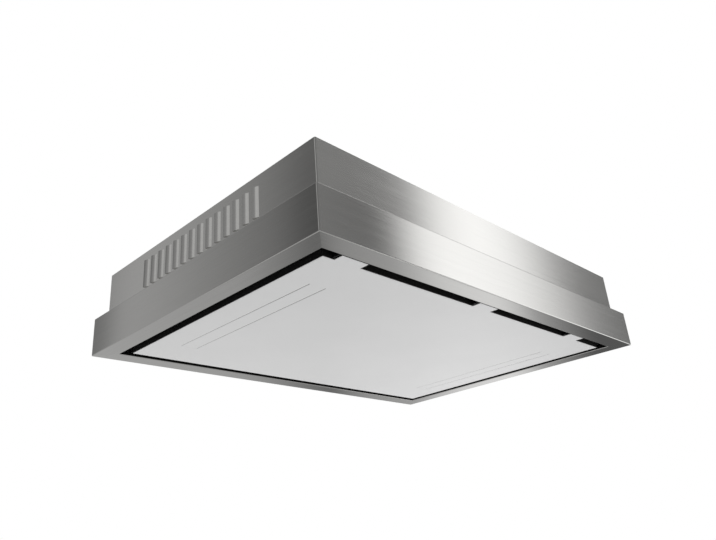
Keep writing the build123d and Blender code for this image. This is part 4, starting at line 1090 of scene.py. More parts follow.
class RivetHinges(bpy.types.Operator):
    """Rivet the hinge leaves to the panel and clip the hinge pins."""

    bl_idname = "hood.rivet_hinges"
    bl_label = "Hinge rivets and clips"

    def execute(self, context):
        spacing, setback, radius, rise, leaf = 18 * MM, 8 * MM, 3.2 * MM, 1.1 * MM, 1.5 * MM
        heads = bmesh.new()
        dome(heads, radius, rise)
        places = []
        for low, high in solids("hinge_knuckles"):
            middle = (low.x + high.x) / 2
            places += [Vector((middle + way * spacing, high.y - setback, low.z + leaf)) for way in (-1, 1)]
        stand(heads, places)
        add_piece("hinge_leaf_rivets", heads, "black_zinc", "panel", "zinc_plated")

        outer, inner, width, inset = 3.4 * MM, 1.7 * MM, 0.7 * MM, 1.0 * MM
        clips = bmesh.new()
        turned(clips, [(inner, 0), (outer, 0), (outer, width), (inner, width), (inner, 0)])
        places = []
        for low, high in solids("hinge_pins"):
            axis = (low + high) / 2
            for end in (low.x + inset, high.x - inset):
                places.append(Vector((end - width / 2, axis.y, axis.z)))
        stand(clips, places, Matrix.Rotation(math.pi / 2, 4, "Y"))
        add_piece("hinge_pin_clips", clips, "black_zinc", "root", "zinc_plated")
        return {"FINISHED"}


# ---------------------------------------------------------------- new pieces of the filters

# The filters, each with the way along X from the hood's middle to it.
HANDS = (("left", -1), ("right", 1))
# Each latch and its pad, along X from the thumb plate's outer end and away from the hood's middle,
# and half their widths.
PAD, PAD_HALF = (-15.2 * MM, 12.8 * MM), 22 * MM
SLOT, SLOT_HALF = (-13.2 * MM, 6.8 * MM), 10 * MM
STEM, STEM_HALF = (-13.0 * MM, -1.0 * MM), 9.8 * MM
THUMB = (-15.0 * MM, 0.0)


def latch_end(hand, way):
    """Where the thumb plate of one filter's latch ends, away from the hood's middle."""
    low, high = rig.box(f"filter_latch_{hand}")
    return high.x if way > 0 else low.x


def diamond_sheet(low, high, length, share, strand, gap):
    """One sheet of expanded metal between two corners, with no strand in the latch's gap."""
    on_plane = 0.001 * MM
    width = length * share
    size = high - low
    count = math.ceil(size.x / width + size.y / length) + 2
    sheet = bmesh.new()
    bmesh.ops.create_grid(sheet, x_segments=count, y_segments=count, size=count / 2)
    bmesh.ops.rotate(sheet, verts=sheet.verts, matrix=Matrix.Rotation(math.pi / 4, 3, "Z"))
    bmesh.ops.scale(sheet, verts=sheet.verts, vec=(width / math.sqrt(2), length / math.sqrt(2), 1))
    bmesh.ops.translate(sheet, verts=sheet.verts, vec=(low + high) / 2)
    for plane_at, outward in ((low, (-1, 0, 0)), (low, (0, -1, 0)), (high, (1, 0, 0)), (high, (0, 1, 0))):
        bmesh.ops.bisect_plane(
            sheet,
            geom=everything(sheet),
            plane_co=plane_at,
            plane_no=outward,
            clear_outer=True,
            dist=on_plane,
        )
    start, end = sorted(gap)
    centres = [(face, face.calc_center_median()) for face in sheet.faces]
    passed = [
        face
        for face, centre in centres
        if start - width / 2 < centre.x < end + width / 2 and abs(centre.y) < SLOT_HALF + length / 2
    ]
    bmesh.ops.delete(sheet, geom=passed, context="FACES")
    bmesh.ops.wireframe(
        sheet,
        faces=sheet.faces,
        thickness=strand,
        offset=0,
        use_replace=True,
        use_boundary=True,
        use_even_offset=True,
    )
    return sheet


class WeaveFilterMesh(bpy.types.Operator):
    """Lay two sheets of expanded aluminium in each grease filter."""

    bl_idname = "hood.weave_filter_mesh"
    bl_label = "Filter mesh"

    def execute(self, context):
        settings = context.scene.hood_filter
        inset = 0.7 * MM
        share, strand = settings.diamond_share, settings.strand
        border = Vector((strand, strand, 0)) / 2
        for hand, way in HANDS:
            low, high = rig.box(f"filter_mesh_{hand}")
            low, high = low + border, high - border
            gap = [latch_end(hand, way) + way * place for place in SLOT]
            guard, core = (low.z + inset, settings.guard_length), (high.z - inset, settings.core_length)
            shape = bmesh.new()
            for level, length in (guard, core):
                corners = Vector((low.x, low.y, level)), Vector((high.x, high.y, level))
                take_in(shape, diamond_sheet(*corners, length, share, strand, gap))
            name, replaced = f"expanded_mesh_{hand}", f"filter_mesh_{hand}"
            add_piece(name, shape, "aluminium", "root", "filter_aluminium", [replaced])
        return {"FINISHED"}


def add_rails(shape, centre, inner, outer, foot, top, hem):
    """Add a frame's four mitred channels, each with a hair joint to the next."""
    joint = 0.12 * MM
    for along, across in ((0, 1), (1, 0)):
        for side in (-1, 1):
            outline = []
            for reach, end in ((outer, -1), (outer, 1), (inner, 1), (inner, -1)):
                corner = Vector((centre.x, centre.y, foot))
                corner[across] += side * reach[across]
                corner[along] += end * (reach[along] - joint)
                outline.append(corner)
            push(shape, outline, (0, 0, top - foot))
    round_off(shape, shape.edges[:], hem, 3)


def add_lips(shape, centre, inner, foot):
    """Add the folded lip that holds the mesh at each side of a frame."""
    lip, thick, lift, edge = 5 * MM, 1.0 * MM, 0.1 * MM, 0.2 * MM
    for side in (-1, 1):
        rim, bound = centre.y + side * inner.y, centre.y + side * (inner.y - lip)
        start = (centre.x - inner.x, rim, foot + lift)
        slab(shape, start, (centre.x + inner.x, bound, foot + thick), edge, 1)
        rim, bound = centre.x + side * inner.x, centre.x + side * (inner.x - lip)
        reach = inner.y - lip - lift
        slab(shape, (rim, centre.y - reach, foot + lift), (bound, centre.y + reach, foot + thick), edge, 1)


def add_latch_pad(shape, end, way, foot, top):
    """Add the pad that a filter's latch slides in, with its slot."""
    columns = sorted(end + way * place for place in (*PAD, *SLOT))
    rows = (-PAD_HALF, -SLOT_HALF, SLOT_HALF, PAD_HALF)
    grid_half, bead, crease = 1.5, 0.4 * MM, 1.0
    pad = bmesh.new()
    bmesh.ops.create_grid(pad, x_segments=3, y_segments=3, size=grid_half)
    middle = min(pad.faces, key=lambda face: face.calc_center_median().length)
    bmesh.ops.delete(pad, geom=[middle], context="FACES")
    for corner in pad.verts:
        column, row = round(corner.co.x + grid_half), round(corner.co.y + grid_half)
        corner.co = (columns[column], rows[row], foot)
    pushed = bmesh.ops.extrude_face_region(pad, geom=pad.faces[:])["geom"]
    bmesh.ops.translate(pad, vec=(0, 0, top - foot), verts=corners_in(pushed))
    bmesh.ops.recalc_face_normals(pad, faces=pad.faces)
    round_off(pad, sharp_edges(pad, crease), bead)
    take_in(shape, pad)


def add_hooks(shape, way, plate):
    """Add the two hooks that hang a filter on the edge of its opening."""
    opening, gap, thick, half, from_middle = 375 * MM, 0.3 * MM, 2 * MM, 10 * MM, 100 * MM
    hold, reach, edge = 1.3 * MM, 5 * MM, 0.4 * MM
    riser, top = way * (opening - gap), plate + hold + thick
    for middle in (-from_middle, from_middle):
        near, far = middle - half, middle + half
        slab(shape, (riser - way * thick, near, plate - gap), (riser, far, top), edge)
        slab(shape, (riser - way * thick / 2, near, top - thick), (riser + way * reach, far, top), edge)


class FoldFilterFrames(bpy.types.Operator):
    """Fold each grease filter's frame from four mitred channels, with its hooks and latch pad."""

    bl_idname = "hood.fold_filter_frames"
    bl_label = "Filter frames"

    def execute(self, context):
        hem = context.scene.hood_filter.hem
        rail, clear = 14 * MM, 0.2 * MM
        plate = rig.box("filter_plate")[0].z
        for hand, way in HANDS:
            low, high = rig.box(f"filter_mesh_{hand}")
            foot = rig.box(f"filter_frame_{hand}")[0].z
            centre = (low + high) / 2
            inner = (high - low) / 2 + Vector((clear, clear, 0))
            outer = inner + Vector((rail, rail, 0))
            shape = bmesh.new()
            add_rails(shape, centre, inner, outer, foot, plate, hem)
            add_lips(shape, centre, inner, foot)
            add_latch_pad(shape, latch_end(hand, way), way, foot, plate)
            add_hooks(shape, way, plate)
            name, replaced = f"folded_frame_{hand}", f"filter_frame_{hand}"
            add_piece(name, shape, "aluminium", "root", "filter_aluminium", [replaced])
        return {"FINISHED"}


class MouldLatches(bpy.types.Operator):
    """Mould each filter's sliding latch, with its thumb plate, finger ribs and nose."""

    bl_idname = "hood.mould_latches"
    bl_label = "Filter latches"

    def execute(self, context):
        ribs = context.scene.hood_fittings.rib_count
        plate, grip, drop, nose_high, ramp = 2.5 * MM, 2.5 * MM, 6.25 * MM, 2.5 * MM, 3.5 * MM
        first_rib, rib, rise, field, rib_inset = 4.4 * MM, 0.9 * MM, 0.8 * MM, 9.0 * MM, 4 * MM
        sink, rake, root = 0.5 * MM, 0.9 * MM, 1.0 * MM
        stem_bead, plate_bead, grip_bead, rib_bead = 0.6 * MM, 0.8 * MM, 0.9 * MM, 0.35 * MM
        for hand, way in HANDS:
            low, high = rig.box(f"filter_latch_{hand}")
            end = latch_end(hand, way)
            tip = low.x if way > 0 else high.x
            thumb, stem = [end + way * place for place in THUMB], [end + way * place for place in STEM]
            top, foot, sole = low.z + drop, low.z + drop - plate, high.z - nose_high
            shape = bmesh.new()
            slab(shape, (stem[0], -STEM_HALF, top - sink), (stem[1], STEM_HALF, high.z), stem_bead)
            nose = [
                (tip, -STEM_HALF, sole + rake),
                (tip + way * ramp, -STEM_HALF, sole),
                (stem[0] + way * root, -STEM_HALF, sole),
                (stem[0] + way * root, -STEM_HALF, high.z),
                (tip, -STEM_HALF, high.z),
            ]
            push(shape, nose, (0, 2 * STEM_HALF, 0))
            slab(shape, (thumb[0], low.y, foot), (thumb[1], high.y, top), plate_bead, 3)
            slab(shape, (thumb[0], low.y, low.z), (thumb[0] + way * grip, high.y, top), grip_bead, 3)
            for index in range(ribs):
                start = thumb[0] + way * (first_rib + index * field / ribs)
                near, far = low.y + rib_inset, high.y - rib_inset
                slab(shape, (start, near, foot - rise), (start + way * rib, far, foot + rise), rib_bead)
            name, replaced = f"latch_slide_{hand}", f"filter_latch_{hand}"
            add_piece(name, shape, "latch_plastic", f"latch_{hand}", "latch_grey", [replaced])
        return {"FINISHED"}


# ---------------------------------------------------------------- new fasteners


class DriveRivets(bpy.types.Operator):
    """Set the domed blind rivets that hold the casing on the canopy."""

    bl_idname = "hood.drive_rivets"
    bl_label = "Frame rivets"

    def execute(self, context):
        boxes = solids("frame_rivets")
        length = boxes[0][1].z - boxes[0][0].z
        rise, tail, shank, head, mandrel = 1.2 * MM, 1.2 * MM, 1.95 * MM, 4.0 * MM, 1.0 * MM
        dimple, rim, crown, brim = 0.55 * MM, 0.45 * MM, 0.12 * MM, 0.55 * MM
        profile = [
            (0, dimple),
            (mandrel, rim),
            (mandrel * 1.25, 0),
            (head * 0.62, crown),
            (head * 0.90, brim),
            (head, rise),
            (shank, rise),
            (shank, length - tail),
            (shank * 1.5, length - tail),
            (shank * 1.45, length - tail * 0.3),
            (shank * 0.8, length),
            (0, length),
        ]
        shape = bmesh.new()
        turned(shape, profile)
        stand(shape, feet(boxes))
        add_piece("blind_rivets", shape, "bright_zinc", "root", "zinc_plated", ["frame_rivets"])
        return {"FINISHED"}


class DriveScrews(bpy.types.Operator):
    """Drive the countersunk cross-head screws of the top plate."""

    bl_idname = "hood.drive_screws"
    bl_label = "Top plate screws"

    def execute(self, context):
        depth = context.scene.hood_fittings.recess
        boxes = solids("top_plate_screws")
        length = boxes[0][1].z - boxes[0][0].z
        head, shank, core, cone, plain, pitch, point = [
            size * MM for size in (3.35, 1.55, 1.15, 1.2, 1.2, 0.9, 1.0)
        ]
        brim, arm, half = 0.15 * MM, 1.9 * MM, 0.42 * MM
        thread_top = length - cone - plain
        profile = [(head, length), (head, length - brim), (shank, length - cone), (shank, thread_top)]
        for index in range(int((thread_top - plain) / pitch)):
            level = thread_top - index * pitch
            profile += [(core, level - 0.3 * pitch), (shank, level - 0.65 * pitch)]
        profile += [(core, point), (0, 0)]
        shape = bmesh.new()
        cross_screw(shape, profile, arm, half, depth)
        stand(shape, feet(boxes))
        add_piece("cross_head_screws", shape, "bright_zinc", "root", "zinc_plated", ["top_plate_screws"])
        return {"FINISHED"}


class DriveInnerScrews(bpy.types.Operator):
    """Drive the pan-head screws of the motor, the control box's lid and the LED driver."""

    bl_idname = "hood.drive_inner_screws"
    bl_label = "Pan-head screws"

    def execute(self, context):
        head, rise, shank, arm, half, depth = [size * MM for size in (4.0, 2.0, 1.9, 2.1, 0.45, 1.2)]
        boxes = solids("motor_screws")
        length = boxes[0][1].z - boxes[0][0].z
        profile = [(radius, height + length - rise) for radius, height in pan_profile(head, rise)[:-1]]
        shape = bmesh.new()
        cross_screw(shape, [*profile, (shank, length - rise), (shank, 0), (0, 0)], arm, half, depth)
        stand(shape, feet(boxes))
        add_piece("motor_pan_screws", shape, "bright_zinc", "root", "zinc_plated", ["motor_screws"])

        head, rise, arm, half, depth = [size * MM for size in (3.0, 1.5, 1.7, 0.35, 0.9)]
        lid_inset, driver_inset, foot = 7 * MM, 6 * MM, 2.0 * MM
        low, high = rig.box("control_lid")
        across, along = (low.x + lid_inset, high.x - lid_inset), (low.y + lid_inset, high.y - lid_inset)
        places = [Vector((x, y, low.z)) for x in across for y in along]
        low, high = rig.box("led_driver")
        across = low.x + driver_inset, high.x - driver_inset
        places += [Vector((x, (low.y + high.y) / 2, high.z - foot)) for x in across]
        shape = bmesh.new()
        cross_screw(shape, pan_profile(head, rise), arm, half, depth)
        stand(shape, places, Matrix.Rotation(math.pi, 4, "X"))
        add_piece("box_and_driver_screws", shape, "bright_zinc", "root", "zinc_plated")
        return {"FINISHED"}


# ---------------------------------------------------------------- new pieces inside


class WindStator(bpy.types.Operator):
    """Lay the copper windings in the motor's slots."""

    bl_idname = "hood.wind_stator"
    bl_label = "Stator windings"

    def execute(self, context):
        low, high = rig.box("motor_stator")
        axis = (low + high) / 2
        count, inner, outer, half = 12, 26 * MM, 36.5 * MM, 1.8 * MM
        below, sink, bead = 1.6 * MM, 2.1 * MM, 1.0 * MM
        start = (axis.x + inner, axis.y - half, low.z - below)
        shape = bmesh.new()
        slab(shape, start, (axis.x + outer, axis.y + half, high.z - sink), bead, 3)
        about = Matrix.Translation((axis.x, axis.y, 0))
        turns = [Matrix.Rotation(math.tau * index / count, 4, "Z") for index in range(1, count)]
        repeat(shape, [about @ turn @ about.inverted() for turn in turns])
        add_piece("stator_windings", shape, "copper", "root", "stator_iron")
        return {"FINISHED"}


class ThreadGland(bpy.types.Operator):
    """Turn the supply cable's gland, with its thread, chamfered mouth and hexagonal lock nut."""

    bl_idname = "hood.thread_gland"
    bl_label = "Cable gland"

    def execute(self, context):
        low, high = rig.box("cable_gland")
        centre = (low + high) / 2
        bore, radius, root, pitch, chamfer = 5.0 * MM, 9.8 * MM, 9.2 * MM, 1.5 * MM, 1.2 * MM
        brim, lead_in, tip = 0.4 * MM, 0.6 * MM, 0.3 * MM
        nut, nut_foot, nut_high, nut_bead, crease = 12.9 * MM, high.z - 9.2 * MM, 6.0 * MM, 0.5 * MM, 0.5
        profile = [
            (bore, low.z + lead_in),
            (bore, high.z - chamfer),
            (bore + chamfer, high.z),
            (radius - brim, high.z),
            (radius, high.z - brim),
        ]
        level = nut_foot
        while level - pitch > low.z:
            profile += [(radius, level), (root, level - 0.5 * pitch)]
            level -= pitch
        profile += [(root, low.z + tip), (root - lead_in, low.z), (bore + lead_in, low.z), profile[0]]
        shape = bmesh.new()
        turned(shape, profile, centre, 40)
        nut_top = nut_foot + nut_high
        section = [(root, nut_foot), (nut, nut_foot), (nut, nut_top), (root, nut_top), (root, nut_foot)]
        hexagon = bmesh.new()
        turned(hexagon, section, centre, 6)
        bmesh.ops.recalc_face_normals(hexagon, faces=hexagon.faces)
        round_off(hexagon, sharp_edges(hexagon, crease), nut_bead)
        take_in(shape, hexagon)
        add_piece("threaded_gland", shape, "gland_nylon", "root", "gland_black", ["cable_gland"])
        return {"FINISHED"}


def add_laminate(low, high):
    """Add the control board itself, with rounded corners, and return the level of its underside."""
    thick, corner = 1.6 * MM, 3 * MM
    under = high.z - thick
    board = bmesh.new()
    slab(board, (low.x, low.y, under), high)
    upright = [edge for edge in board.edges if abs(edge.verts[0].co.z - edge.verts[1].co.z) > thick / 2]
    round_off(board, upright, corner, 4)
    add_piece("board_laminate", board, "circuit_board", "root", "board_green", ["control_board"])
    return under


def add_transformer(middle, under):
    """Add the transformer's iron core, two limbs and a yoke, and the taped coil between its limbs."""
    centre = middle + Vector((-18 * MM, 20 * MM, 0))
    half_x, half_y, deep, limb, edge = 16 * MM, 18 * MM, 18 * MM, 5 * MM, 0.3 * MM
    setback, stand_off = 0.1 * MM, 2 * MM
    yoke = under - deep + limb
    core = bmesh.new()
    for way in (-1, 1):
        start, end = centre.y + way * (half_y - setback), centre.y + way * (half_y - limb)
        foot = (centre.x - half_x + setback, start, yoke - limb / 2)
        slab(core, foot, (centre.x + half_x - setback, end, under - stand_off), edge)
    block(core, centre, (half_x, half_y), yoke - limb, yoke, edge)
    add_piece("transformer_core", core, "stacked_iron", "root", "stator_iron")

    narrower, limb_gap, yoke_gap, bead = 2 * MM, 0.3 * MM, 0.2 * MM, 1.5 * MM
    half = (half_x - narrower, half_y - limb - limb_gap)
    coil = bmesh.new()
    block(coil, centre, half, yoke + yoke_gap, under, bead, 4)
    add_piece("transformer_coil", coil, "winding_tape", "root", "box_plastic")


def add_relays(middle, under):
    """Add the two relays, each with a small nib near one end of its face."""
    half_x, half_y, deep, spacing = 12 * MM, 7 * MM, 12 * MM, 20 * MM
    gap, bead, nib, nib_inset, nib_rise = 0.4 * MM, 0.7 * MM, 1.0 * MM, 3 * MM, 0.4 * MM
    centre = middle + Vector((18 * MM, 24 * MM - spacing / 2, 0))
    face = under - deep
    relays = bmesh.new()
    block(relays, centre, (half_x, half_y), face, under - gap, bead, 3)
    block(relays, centre - Vector((half_x - nib_inset, 0, 0)), (nib, nib), face - nib_rise, face)
    repeat(relays, [Matrix.Translation((0, spacing, 0))])
    add_piece("board_relays", relays, "relay_plastic", "root", "box_plastic")


def add_reservoirs(middle, under):
    """Add the two reservoir capacitors, each a sleeved can with a beaded neck."""
    radius, deep, spacing = 6 * MM, 16 * MM, 22 * MM
    centre = middle + Vector((10 * MM, -26 * MM, 0))
    profile = [
        (0, -deep + 0.4 * MM),
        (radius * 0.72, -deep + 0.4 * MM),
        (radius * 0.80, -deep),
        (radius * 0.94, -deep + 0.3 * MM),
        (radius, -deep + 1.0 * MM),
        (radius, -3.4 * MM),
        (radius * 0.90, -2.8 * MM),
        (radius * 0.90, -2.2 * MM),
        (radius, -1.6 * MM),
        (radius, -0.2 * MM),
        (0, -0.2 * MM),
    ]
    cans = bmesh.new()
    turned(cans, profile)
    stand(cans, [Vector((centre.x + way * spacing / 2, centre.y, under)) for way in (-1, 1)])
    add_piece("board_reservoirs", cans, "sleeve", "root", "rubber_black")


def add_plug_rows(low, under):
    """Add two rows of plug pins, each row with its foot and its keyed back wall."""
    pitch, ways, deep, tall = 3.96 * MM, 4, 8 * MM, 9 * MM
    foot, wall, play, edge = 2 * MM, 1.5 * MM, 0.1 * MM, 0.3 * MM
    pin_from_back, pin, pin_edge, pin_sink = 4.6 * MM, 0.6 * MM, 0.2 * MM, 1.0 * MM
    back, start = low.x + 4 * MM, low.y + 12 * MM
    end = start + ways * pitch
    rows = bmesh.new()
    slab(rows, (back, start, under - foot), (back + deep, end, under), edge)
    wall_foot = (back + play, start + play, under - tall)
    slab(rows, wall_foot, (back + wall, end - play, under - foot / 2), edge)
    for index in range(ways):
        axis = Vector((back + pin_from_back, start + (index + 0.5) * pitch, 0))
        block(rows, axis, (pin, pin), under - tall, under - pin_sink, pin_edge)
    repeat(rows, [Matrix.Translation((0, (ways + 1) * pitch, 0))])
    add_piece("board_plug_rows", rows, "white_plastic", "root", "box_plastic")


class StuffBoard(bpy.types.Operator):
    """Fit the control board with its transformer, relays, reservoirs and plug rows."""

    bl_idname = "hood.stuff_board"
    bl_label = "Control board"

    def execute(self, context):
        low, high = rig.box("control_board")
        middle = (low + high) / 2
        under = add_laminate(low, high)
        add_transformer(middle, under)
        add_relays(middle, under)
        add_reservoirs(middle, under)
        add_plug_rows(low, under)
        return {"FINISHED"}


class StrapCapacitor(bpy.types.Operator):
    """Roll the motor capacitor's can, with its foot and its strap."""

    bl_idname = "hood.strap_capacitor"
    bl_label = "Motor capacitor"

    def execute(self, context):
        low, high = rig.box("run_capacitor")
        radius = (high.x - low.x) / 2
        length = high.y - low.y
        axis = Vector(((low.x + high.x) / 2, low.y, low.z + radius))
        rim, roll = 1.2 * MM, 0.8 * MM
        profile = [
            (0, rim),
            (radius - 2.4 * rim, rim),
            (radius - 1.8 * rim, 0.3 * MM),
            (radius - rim, 0),
            (radius - 0.3 * MM, 0.5 * MM),
            (radius, rim + 0.3 * MM),
            (radius, length - 4 * MM),
            (radius - roll, length - 3.4 * MM),
            (radius - roll, length - 2.6 * MM),
            (radius, length - 2.0 * MM),
            (radius - 0.4 * MM, length - 0.3 * MM),
            (radius - rim, length),
            (0, length),
        ]
        lying = Matrix.Rotation(-math.pi / 2, 4, "X")
        can = bmesh.new()
        turned(can, profile, steps=48)
        stand(can, [axis], lying)
        foot_half, saddle_half, saddle, bead = 8 * MM, 12 * MM, 4 * MM, 0.6 * MM
        middle = Vector((axis.x, axis.y + length / 2, axis.z))
        block(can, middle, (foot_half, saddle_half), high.z - saddle, high.z, bead)
        add_piece("capacitor_can", can, "white_plastic", "root", "capacitor_white", ["run_capacitor"])

        play, sheet, half = 0.05 * MM, 0.6 * MM, 4 * MM
        grip = radius + play
        band = [(grip, -half), (grip + sheet, -half), (grip + sheet, half), (grip, half), (grip, -half)]
        strap = bmesh.new()
        turned(strap, band, steps=48)
        stand(strap, [middle], lying)
        add_piece("capacitor_strap", strap, "bright_zinc", "root", "zinc_plated")
        return {"FINISHED"}


class FitTerminals(bpy.types.Operator):
    """Fit the clamping screws of the mains terminal block."""

    bl_idname = "hood.fit_terminals"
    bl_label = "Terminal screws"

    def execute(self, context):
        low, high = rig.box("terminal_block")
        middle = (low + high) / 2
        poles, radius, slit, cut = 3, 2.1 * MM, 0.5 * MM, 0.8 * MM
        face, floor, web, web_reach = -1.0 * MM, -3.8 * MM, 0.1 * MM, 0.9
        shape = bmesh.new()
        for way in (-1, 1):
            half = bmesh.new()
            bmesh.ops.create_cone(
                half,
                cap_ends=True,
                segments=32,
                radius1=radius,
                radius2=radius,
                depth=face - floor,
            )
            bmesh.ops.translate(half, verts=half.verts, vec=(0, 0, (face + floor) / 2))
            bisected = bmesh.ops.bisect_plane(
                half,
                geom=everything(half),
                plane_co=(way * slit / 2, 0, 0),
                plane_no=(-way, 0, 0),
                clear_outer=True,
            )
            bmesh.ops.contextual_create(half, geom=edges_in(bisected["geom_cut"]))
            take_in(shape, half)
        block(shape, Vector(), (slit / 2 + web, radius * web_reach), floor, face - cut)
        spacing = (high.y - low.y) / poles
        places = [Vector((middle.x, middle.y + (index - 1) * spacing, low.z)) for index in range(poles)]
        stand(shape, places, Matrix.Rotation(math.pi, 4, "X"))
        add_piece("terminal_screws", shape, "brass", "root", "zinc_plated")
        return {"FINISHED"}


# ---------------------------------------------------------------- studio

# Light levels round the studio as (degrees from the far side towards the right, level).
BRIGHTEST = 2.0
LEVELS_ABOVE = (
    (-180, 0.22),
    (-112, 0.22),
    (-104, 0.54),
    (-80, 0.60),
    (-72, 0.33),
    (-56, 0.29),
    (-46, 0.14),
    (-43, 0.12),
    (-39.5, 0.25),
    (-36, 0.32),
    (-32.4, 0.39),
    (-27, 0.50),
    (-25.2, 0.50),
    (-23.8, 0.24),
    (-20, 0.22),
    (0, 0.45),
    (60, 0.50),
    (110, 0.22),
    (114.8, 0.20),
    (117.0, 0.95),
    (119.5, 1.50),
    (123.5, 1.68),
    (125.5, 1.45),
    (128.3, 0.18),
    (131.5, 0.25),
    (136, 0.29),
    (180, 0.25),
)
LEVELS_BELOW = (
    (-180, 0.40),
    (20, 0.54),
    (28, 0.52),
    (36, 0.47),
    (41.5, 0.26),
    (43.5, 0.18),
    (46, 0.40),
    (50.5, 0.47),
    (54.5, 0.90),
    (59.5, 1.05),
    (62, 0.46),
    (66, 0.12),
    (72, 0.15),
    (90, 0.55),
    (97, 0.75),
    (104, 1.00),
    (110, 1.25),
    (115, 1.90),
    (121, 1.80),
    (126, 0.42),
    (140, 0.36),
    (180, 0.40),
)


def aim(target_object, place, target, roll):
    """Stand a camera or light at a place, looking at a point, turned about its own axis."""
    sight = (Vector(target) - Vector(place)).normalized()
    turn = sight.to_track_quat("-Z", "Y")
    target_object.rotation_mode = "QUATERNION"
    target_object.location = place
    target_object.rotation_quaternion = turn @ Quaternion((0, 0, 1), roll)


def ring(tree, azimuth, levels):
    """Light level round the studio, from stops of (degrees from the far side, level)."""
    ramp = node(tree, "ValToRGB", {"Fac": spread(tree, azimuth, -math.pi, math.pi)})
    stops = ramp.color_ramp.elements
    stops.remove(stops[1])
    for index, (degrees, level) in enumerate(levels):
        stop = stops[0] if index == 0 else stops.new(degrees / 360 + 0.5)
        stop.position = degrees / 360 + 0.5
        stop.color = (*[level / BRIGHTEST] * 3, 1.0)
    return maths(tree, "MULTIPLY", ramp.outputs[0], BRIGHTEST)


def choose(tree, share, first, second):
    """First value where the share is 0, second where it is 1."""
    kept = maths(tree, "MULTIPLY", first, maths(tree, "SUBTRACT", 1.0, share))
    return maths(tree, "ADD", kept, maths(tree, "MULTIPLY", second, share))


def studio_light(world, fill):
    """White behind the hood, an even fill, and in reflections a studio of tall soft boxes."""
    horizon = 0.08
    world.use_nodes = True
    tree = world.node_tree
    tree.nodes.clear()
    split = node(tree, "SeparateXYZ", {0: node(tree, "TexCoord").outputs["Generated"]})
    azimuth = maths(tree, "ARCTAN2", split.outputs[0], split.outputs[1])
    above = spread(tree, split.outputs[2], -horizon, horizon, kind="SMOOTHSTEP")
    rings = ring(tree, azimuth, LEVELS_BELOW), ring(tree, azimuth, LEVELS_ABOVE)
    reflected = choose(tree, above, *rings)
    path = node(tree, "LightPath").outputs
    level = choose(tree, path["Is Diffuse Ray"], reflected, fill)
    level = choose(tree, path["Is Camera Ray"], level, 1.0)
    backdrop = node(tree, "Background", {"Color": (1, 1, 1, 1), "Strength": level})
    tree.links.new(backdrop.outputs[0], node(tree, "OutputWorld").inputs["Surface"])


def soft_light(name, size, power, place, target):
    """Add a rectangular soft light that neither the camera nor the steel sees."""
    light = bpy.data.objects.new(name, bpy.data.lights.new(name, "AREA"))
    light.data.shape = "RECTANGLE"
    light.data.size, light.data.size_y = size
    light.data.energy = power
    light.visible_camera = False
    light.visible_glossy = False
    bpy.context.scene.collection.objects.link(light)
    aim(light, place, target, 0.0)


class SetStage(bpy.types.Operator):
    """Set the camera, the pale floor and the soft light."""

    bl_idname = "hood.set_stage"
    bl_label = "Stage"

    def execute(self, context):
        scene = context.scene
        studio = scene.hood_studio

        camera = bpy.data.objects.new("camera", bpy.data.cameras.new("camera"))
        camera.data.lens = studio.lens
        camera.data.sensor_width = 36.0
        camera.data.clip_start = 0.01
        scene.collection.objects.link(camera)
        aim(camera, studio.camera_place, studio.camera_target, studio.camera_roll)
        scene.camera = camera

        disc = bmesh.new()
        bmesh.ops.create_circle(disc, cap_ends=True, segments=96, radius=studio.floor_radius)
        bmesh.ops.translate(disc, verts=disc.verts, vec=(0, 0, studio.floor_level))
        mesh = bpy.data.meshes.new("floor")
        disc.to_mesh(mesh)
        disc.free()
        floor = bpy.data.objects.new("floor", mesh)
        scene.collection.objects.link(floor)
        material, tree, shader = new_material("floor_paint", specular=0.2)
        speckle = noise(tree, place_on_object(tree), scale=60.0, detail=2.0)
        pale = blend_colours(tree, speckle, (0.86, 0.86, 0.86, 1), (0.88, 0.88, 0.88, 1))
        drive(tree, shader, pale, spread(tree, speckle, *NOISE_BAND, 0.7, 0.8))
        mesh.materials.append(material)
        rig.stage(floor)

        soft_light(
            "light_below",
            size=(2.0, 1.5),
            power=studio.panel_light,
            place=(0.62, 0.50, -1.5),
            target=(0.1, 0.05, -0.18),
        )
        soft_light(
            "light_above",
            size=(3.2, 3.2),
            power=studio.ceiling_light,
            place=(-0.4, -0.4, 2.6),
            target=(0.0, 0.0, 0.0),
        )

        scene.world = scene.world or bpy.data.worlds.new("studio")
        studio_light(scene.world, studio.fill)
        scene.view_settings.view_transform = "Standard"
        return {"FINISHED"}


OPERATORS = (
    DressSheets,
    DressPanel,
    DressFittings,
    DressBlower,
    DressElectrics,
    SealPanelEdge,
    SealLightBars,
    CapLightHousings,
    RivetHinges,
    WeaveFilterMesh,
    FoldFilterFrames,
    MouldLatches,
    DriveRivets,
    DriveScrews,
    DriveInnerScrews,
    WindStator,
    ThreadGland,
    StuffBoard,
    StrapCapacitor,
    FitTerminals,
    SetStage,
)


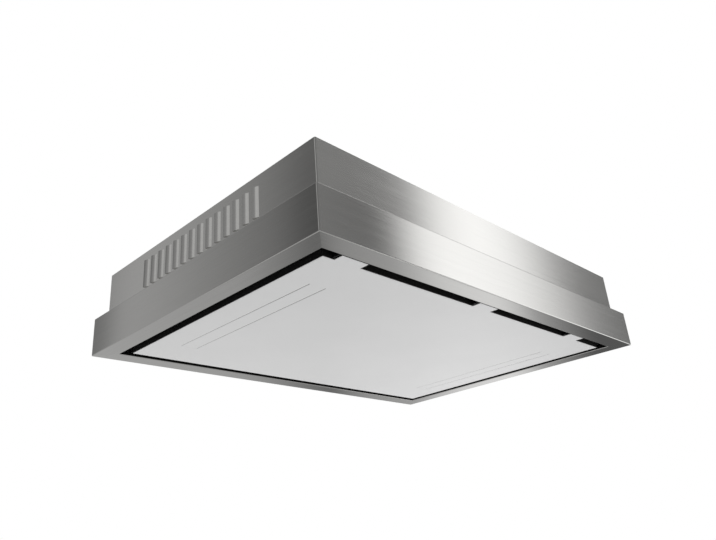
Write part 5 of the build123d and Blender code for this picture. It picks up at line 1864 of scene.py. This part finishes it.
class HoodSidebar(bpy.types.Panel):
    """Lists the hood's operators in the 3D view's sidebar."""

    bl_idname = "VIEW3D_PT_hood"
    bl_label = "Ceiling hood"
    bl_space_type = "VIEW_3D"
    bl_region_type = "UI"
    bl_category = "Hood"

    def draw(self, context):
        for operator in OPERATORS:
            self.layout.operator(operator.bl_idname)
        for name, group in SETTINGS.items():
            column = self.layout.column(heading=group.__doc__)
            for key in group.__annotations__:
                column.prop(getattr(context.scene, name), key)


def register():
    """Register the settings, the operators and the sidebar panel."""
    for group in SETTINGS.values():
        bpy.utils.register_class(group)
    for operator in OPERATORS:
        bpy.utils.register_class(operator)
    bpy.utils.register_class(HoodSidebar)
    for name, group in SETTINGS.items():
        setattr(bpy.types.Scene, name, PointerProperty(type=group))


def unregister():
    """Take away what register added."""
    for name in SETTINGS:
        delattr(bpy.types.Scene, name)
    bpy.utils.unregister_class(HoodSidebar)
    for operator in reversed(OPERATORS):
        bpy.utils.unregister_class(operator)
    for group in reversed(list(SETTINGS.values())):
        bpy.utils.unregister_class(group)


def main():
    """Dress the hood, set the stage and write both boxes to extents.json."""
    register()
    bpy.ops.hood.dress_sheets()
    bpy.ops.hood.dress_panel()
    bpy.ops.hood.dress_fittings()
    bpy.ops.hood.dress_blower()
    bpy.ops.hood.dress_electrics()
    bpy.ops.hood.seal_panel_edge()
    bpy.ops.hood.seal_light_bars()
    bpy.ops.hood.cap_light_housings()
    bpy.ops.hood.rivet_hinges()
    bpy.ops.hood.weave_filter_mesh()
    bpy.ops.hood.fold_filter_frames()
    bpy.ops.hood.mould_latches()
    bpy.ops.hood.drive_rivets()
    bpy.ops.hood.drive_screws()
    bpy.ops.hood.drive_inner_screws()
    bpy.ops.hood.wind_stator()
    bpy.ops.hood.thread_gland()
    bpy.ops.hood.stuff_board()
    bpy.ops.hood.strap_capacitor()
    bpy.ops.hood.fit_terminals()
    bpy.ops.hood.set_stage()
    dressed_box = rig.bounds()
    boxes = {
        "cad": [list(corner) for corner in CAD_BOX],
        "visual": [list(corner) for corner in dressed_box],
    }
    with open("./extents.json", "w") as size_file:
        json.dump(boxes, size_file, indent=1)


if __name__ == "__main__":
    main()
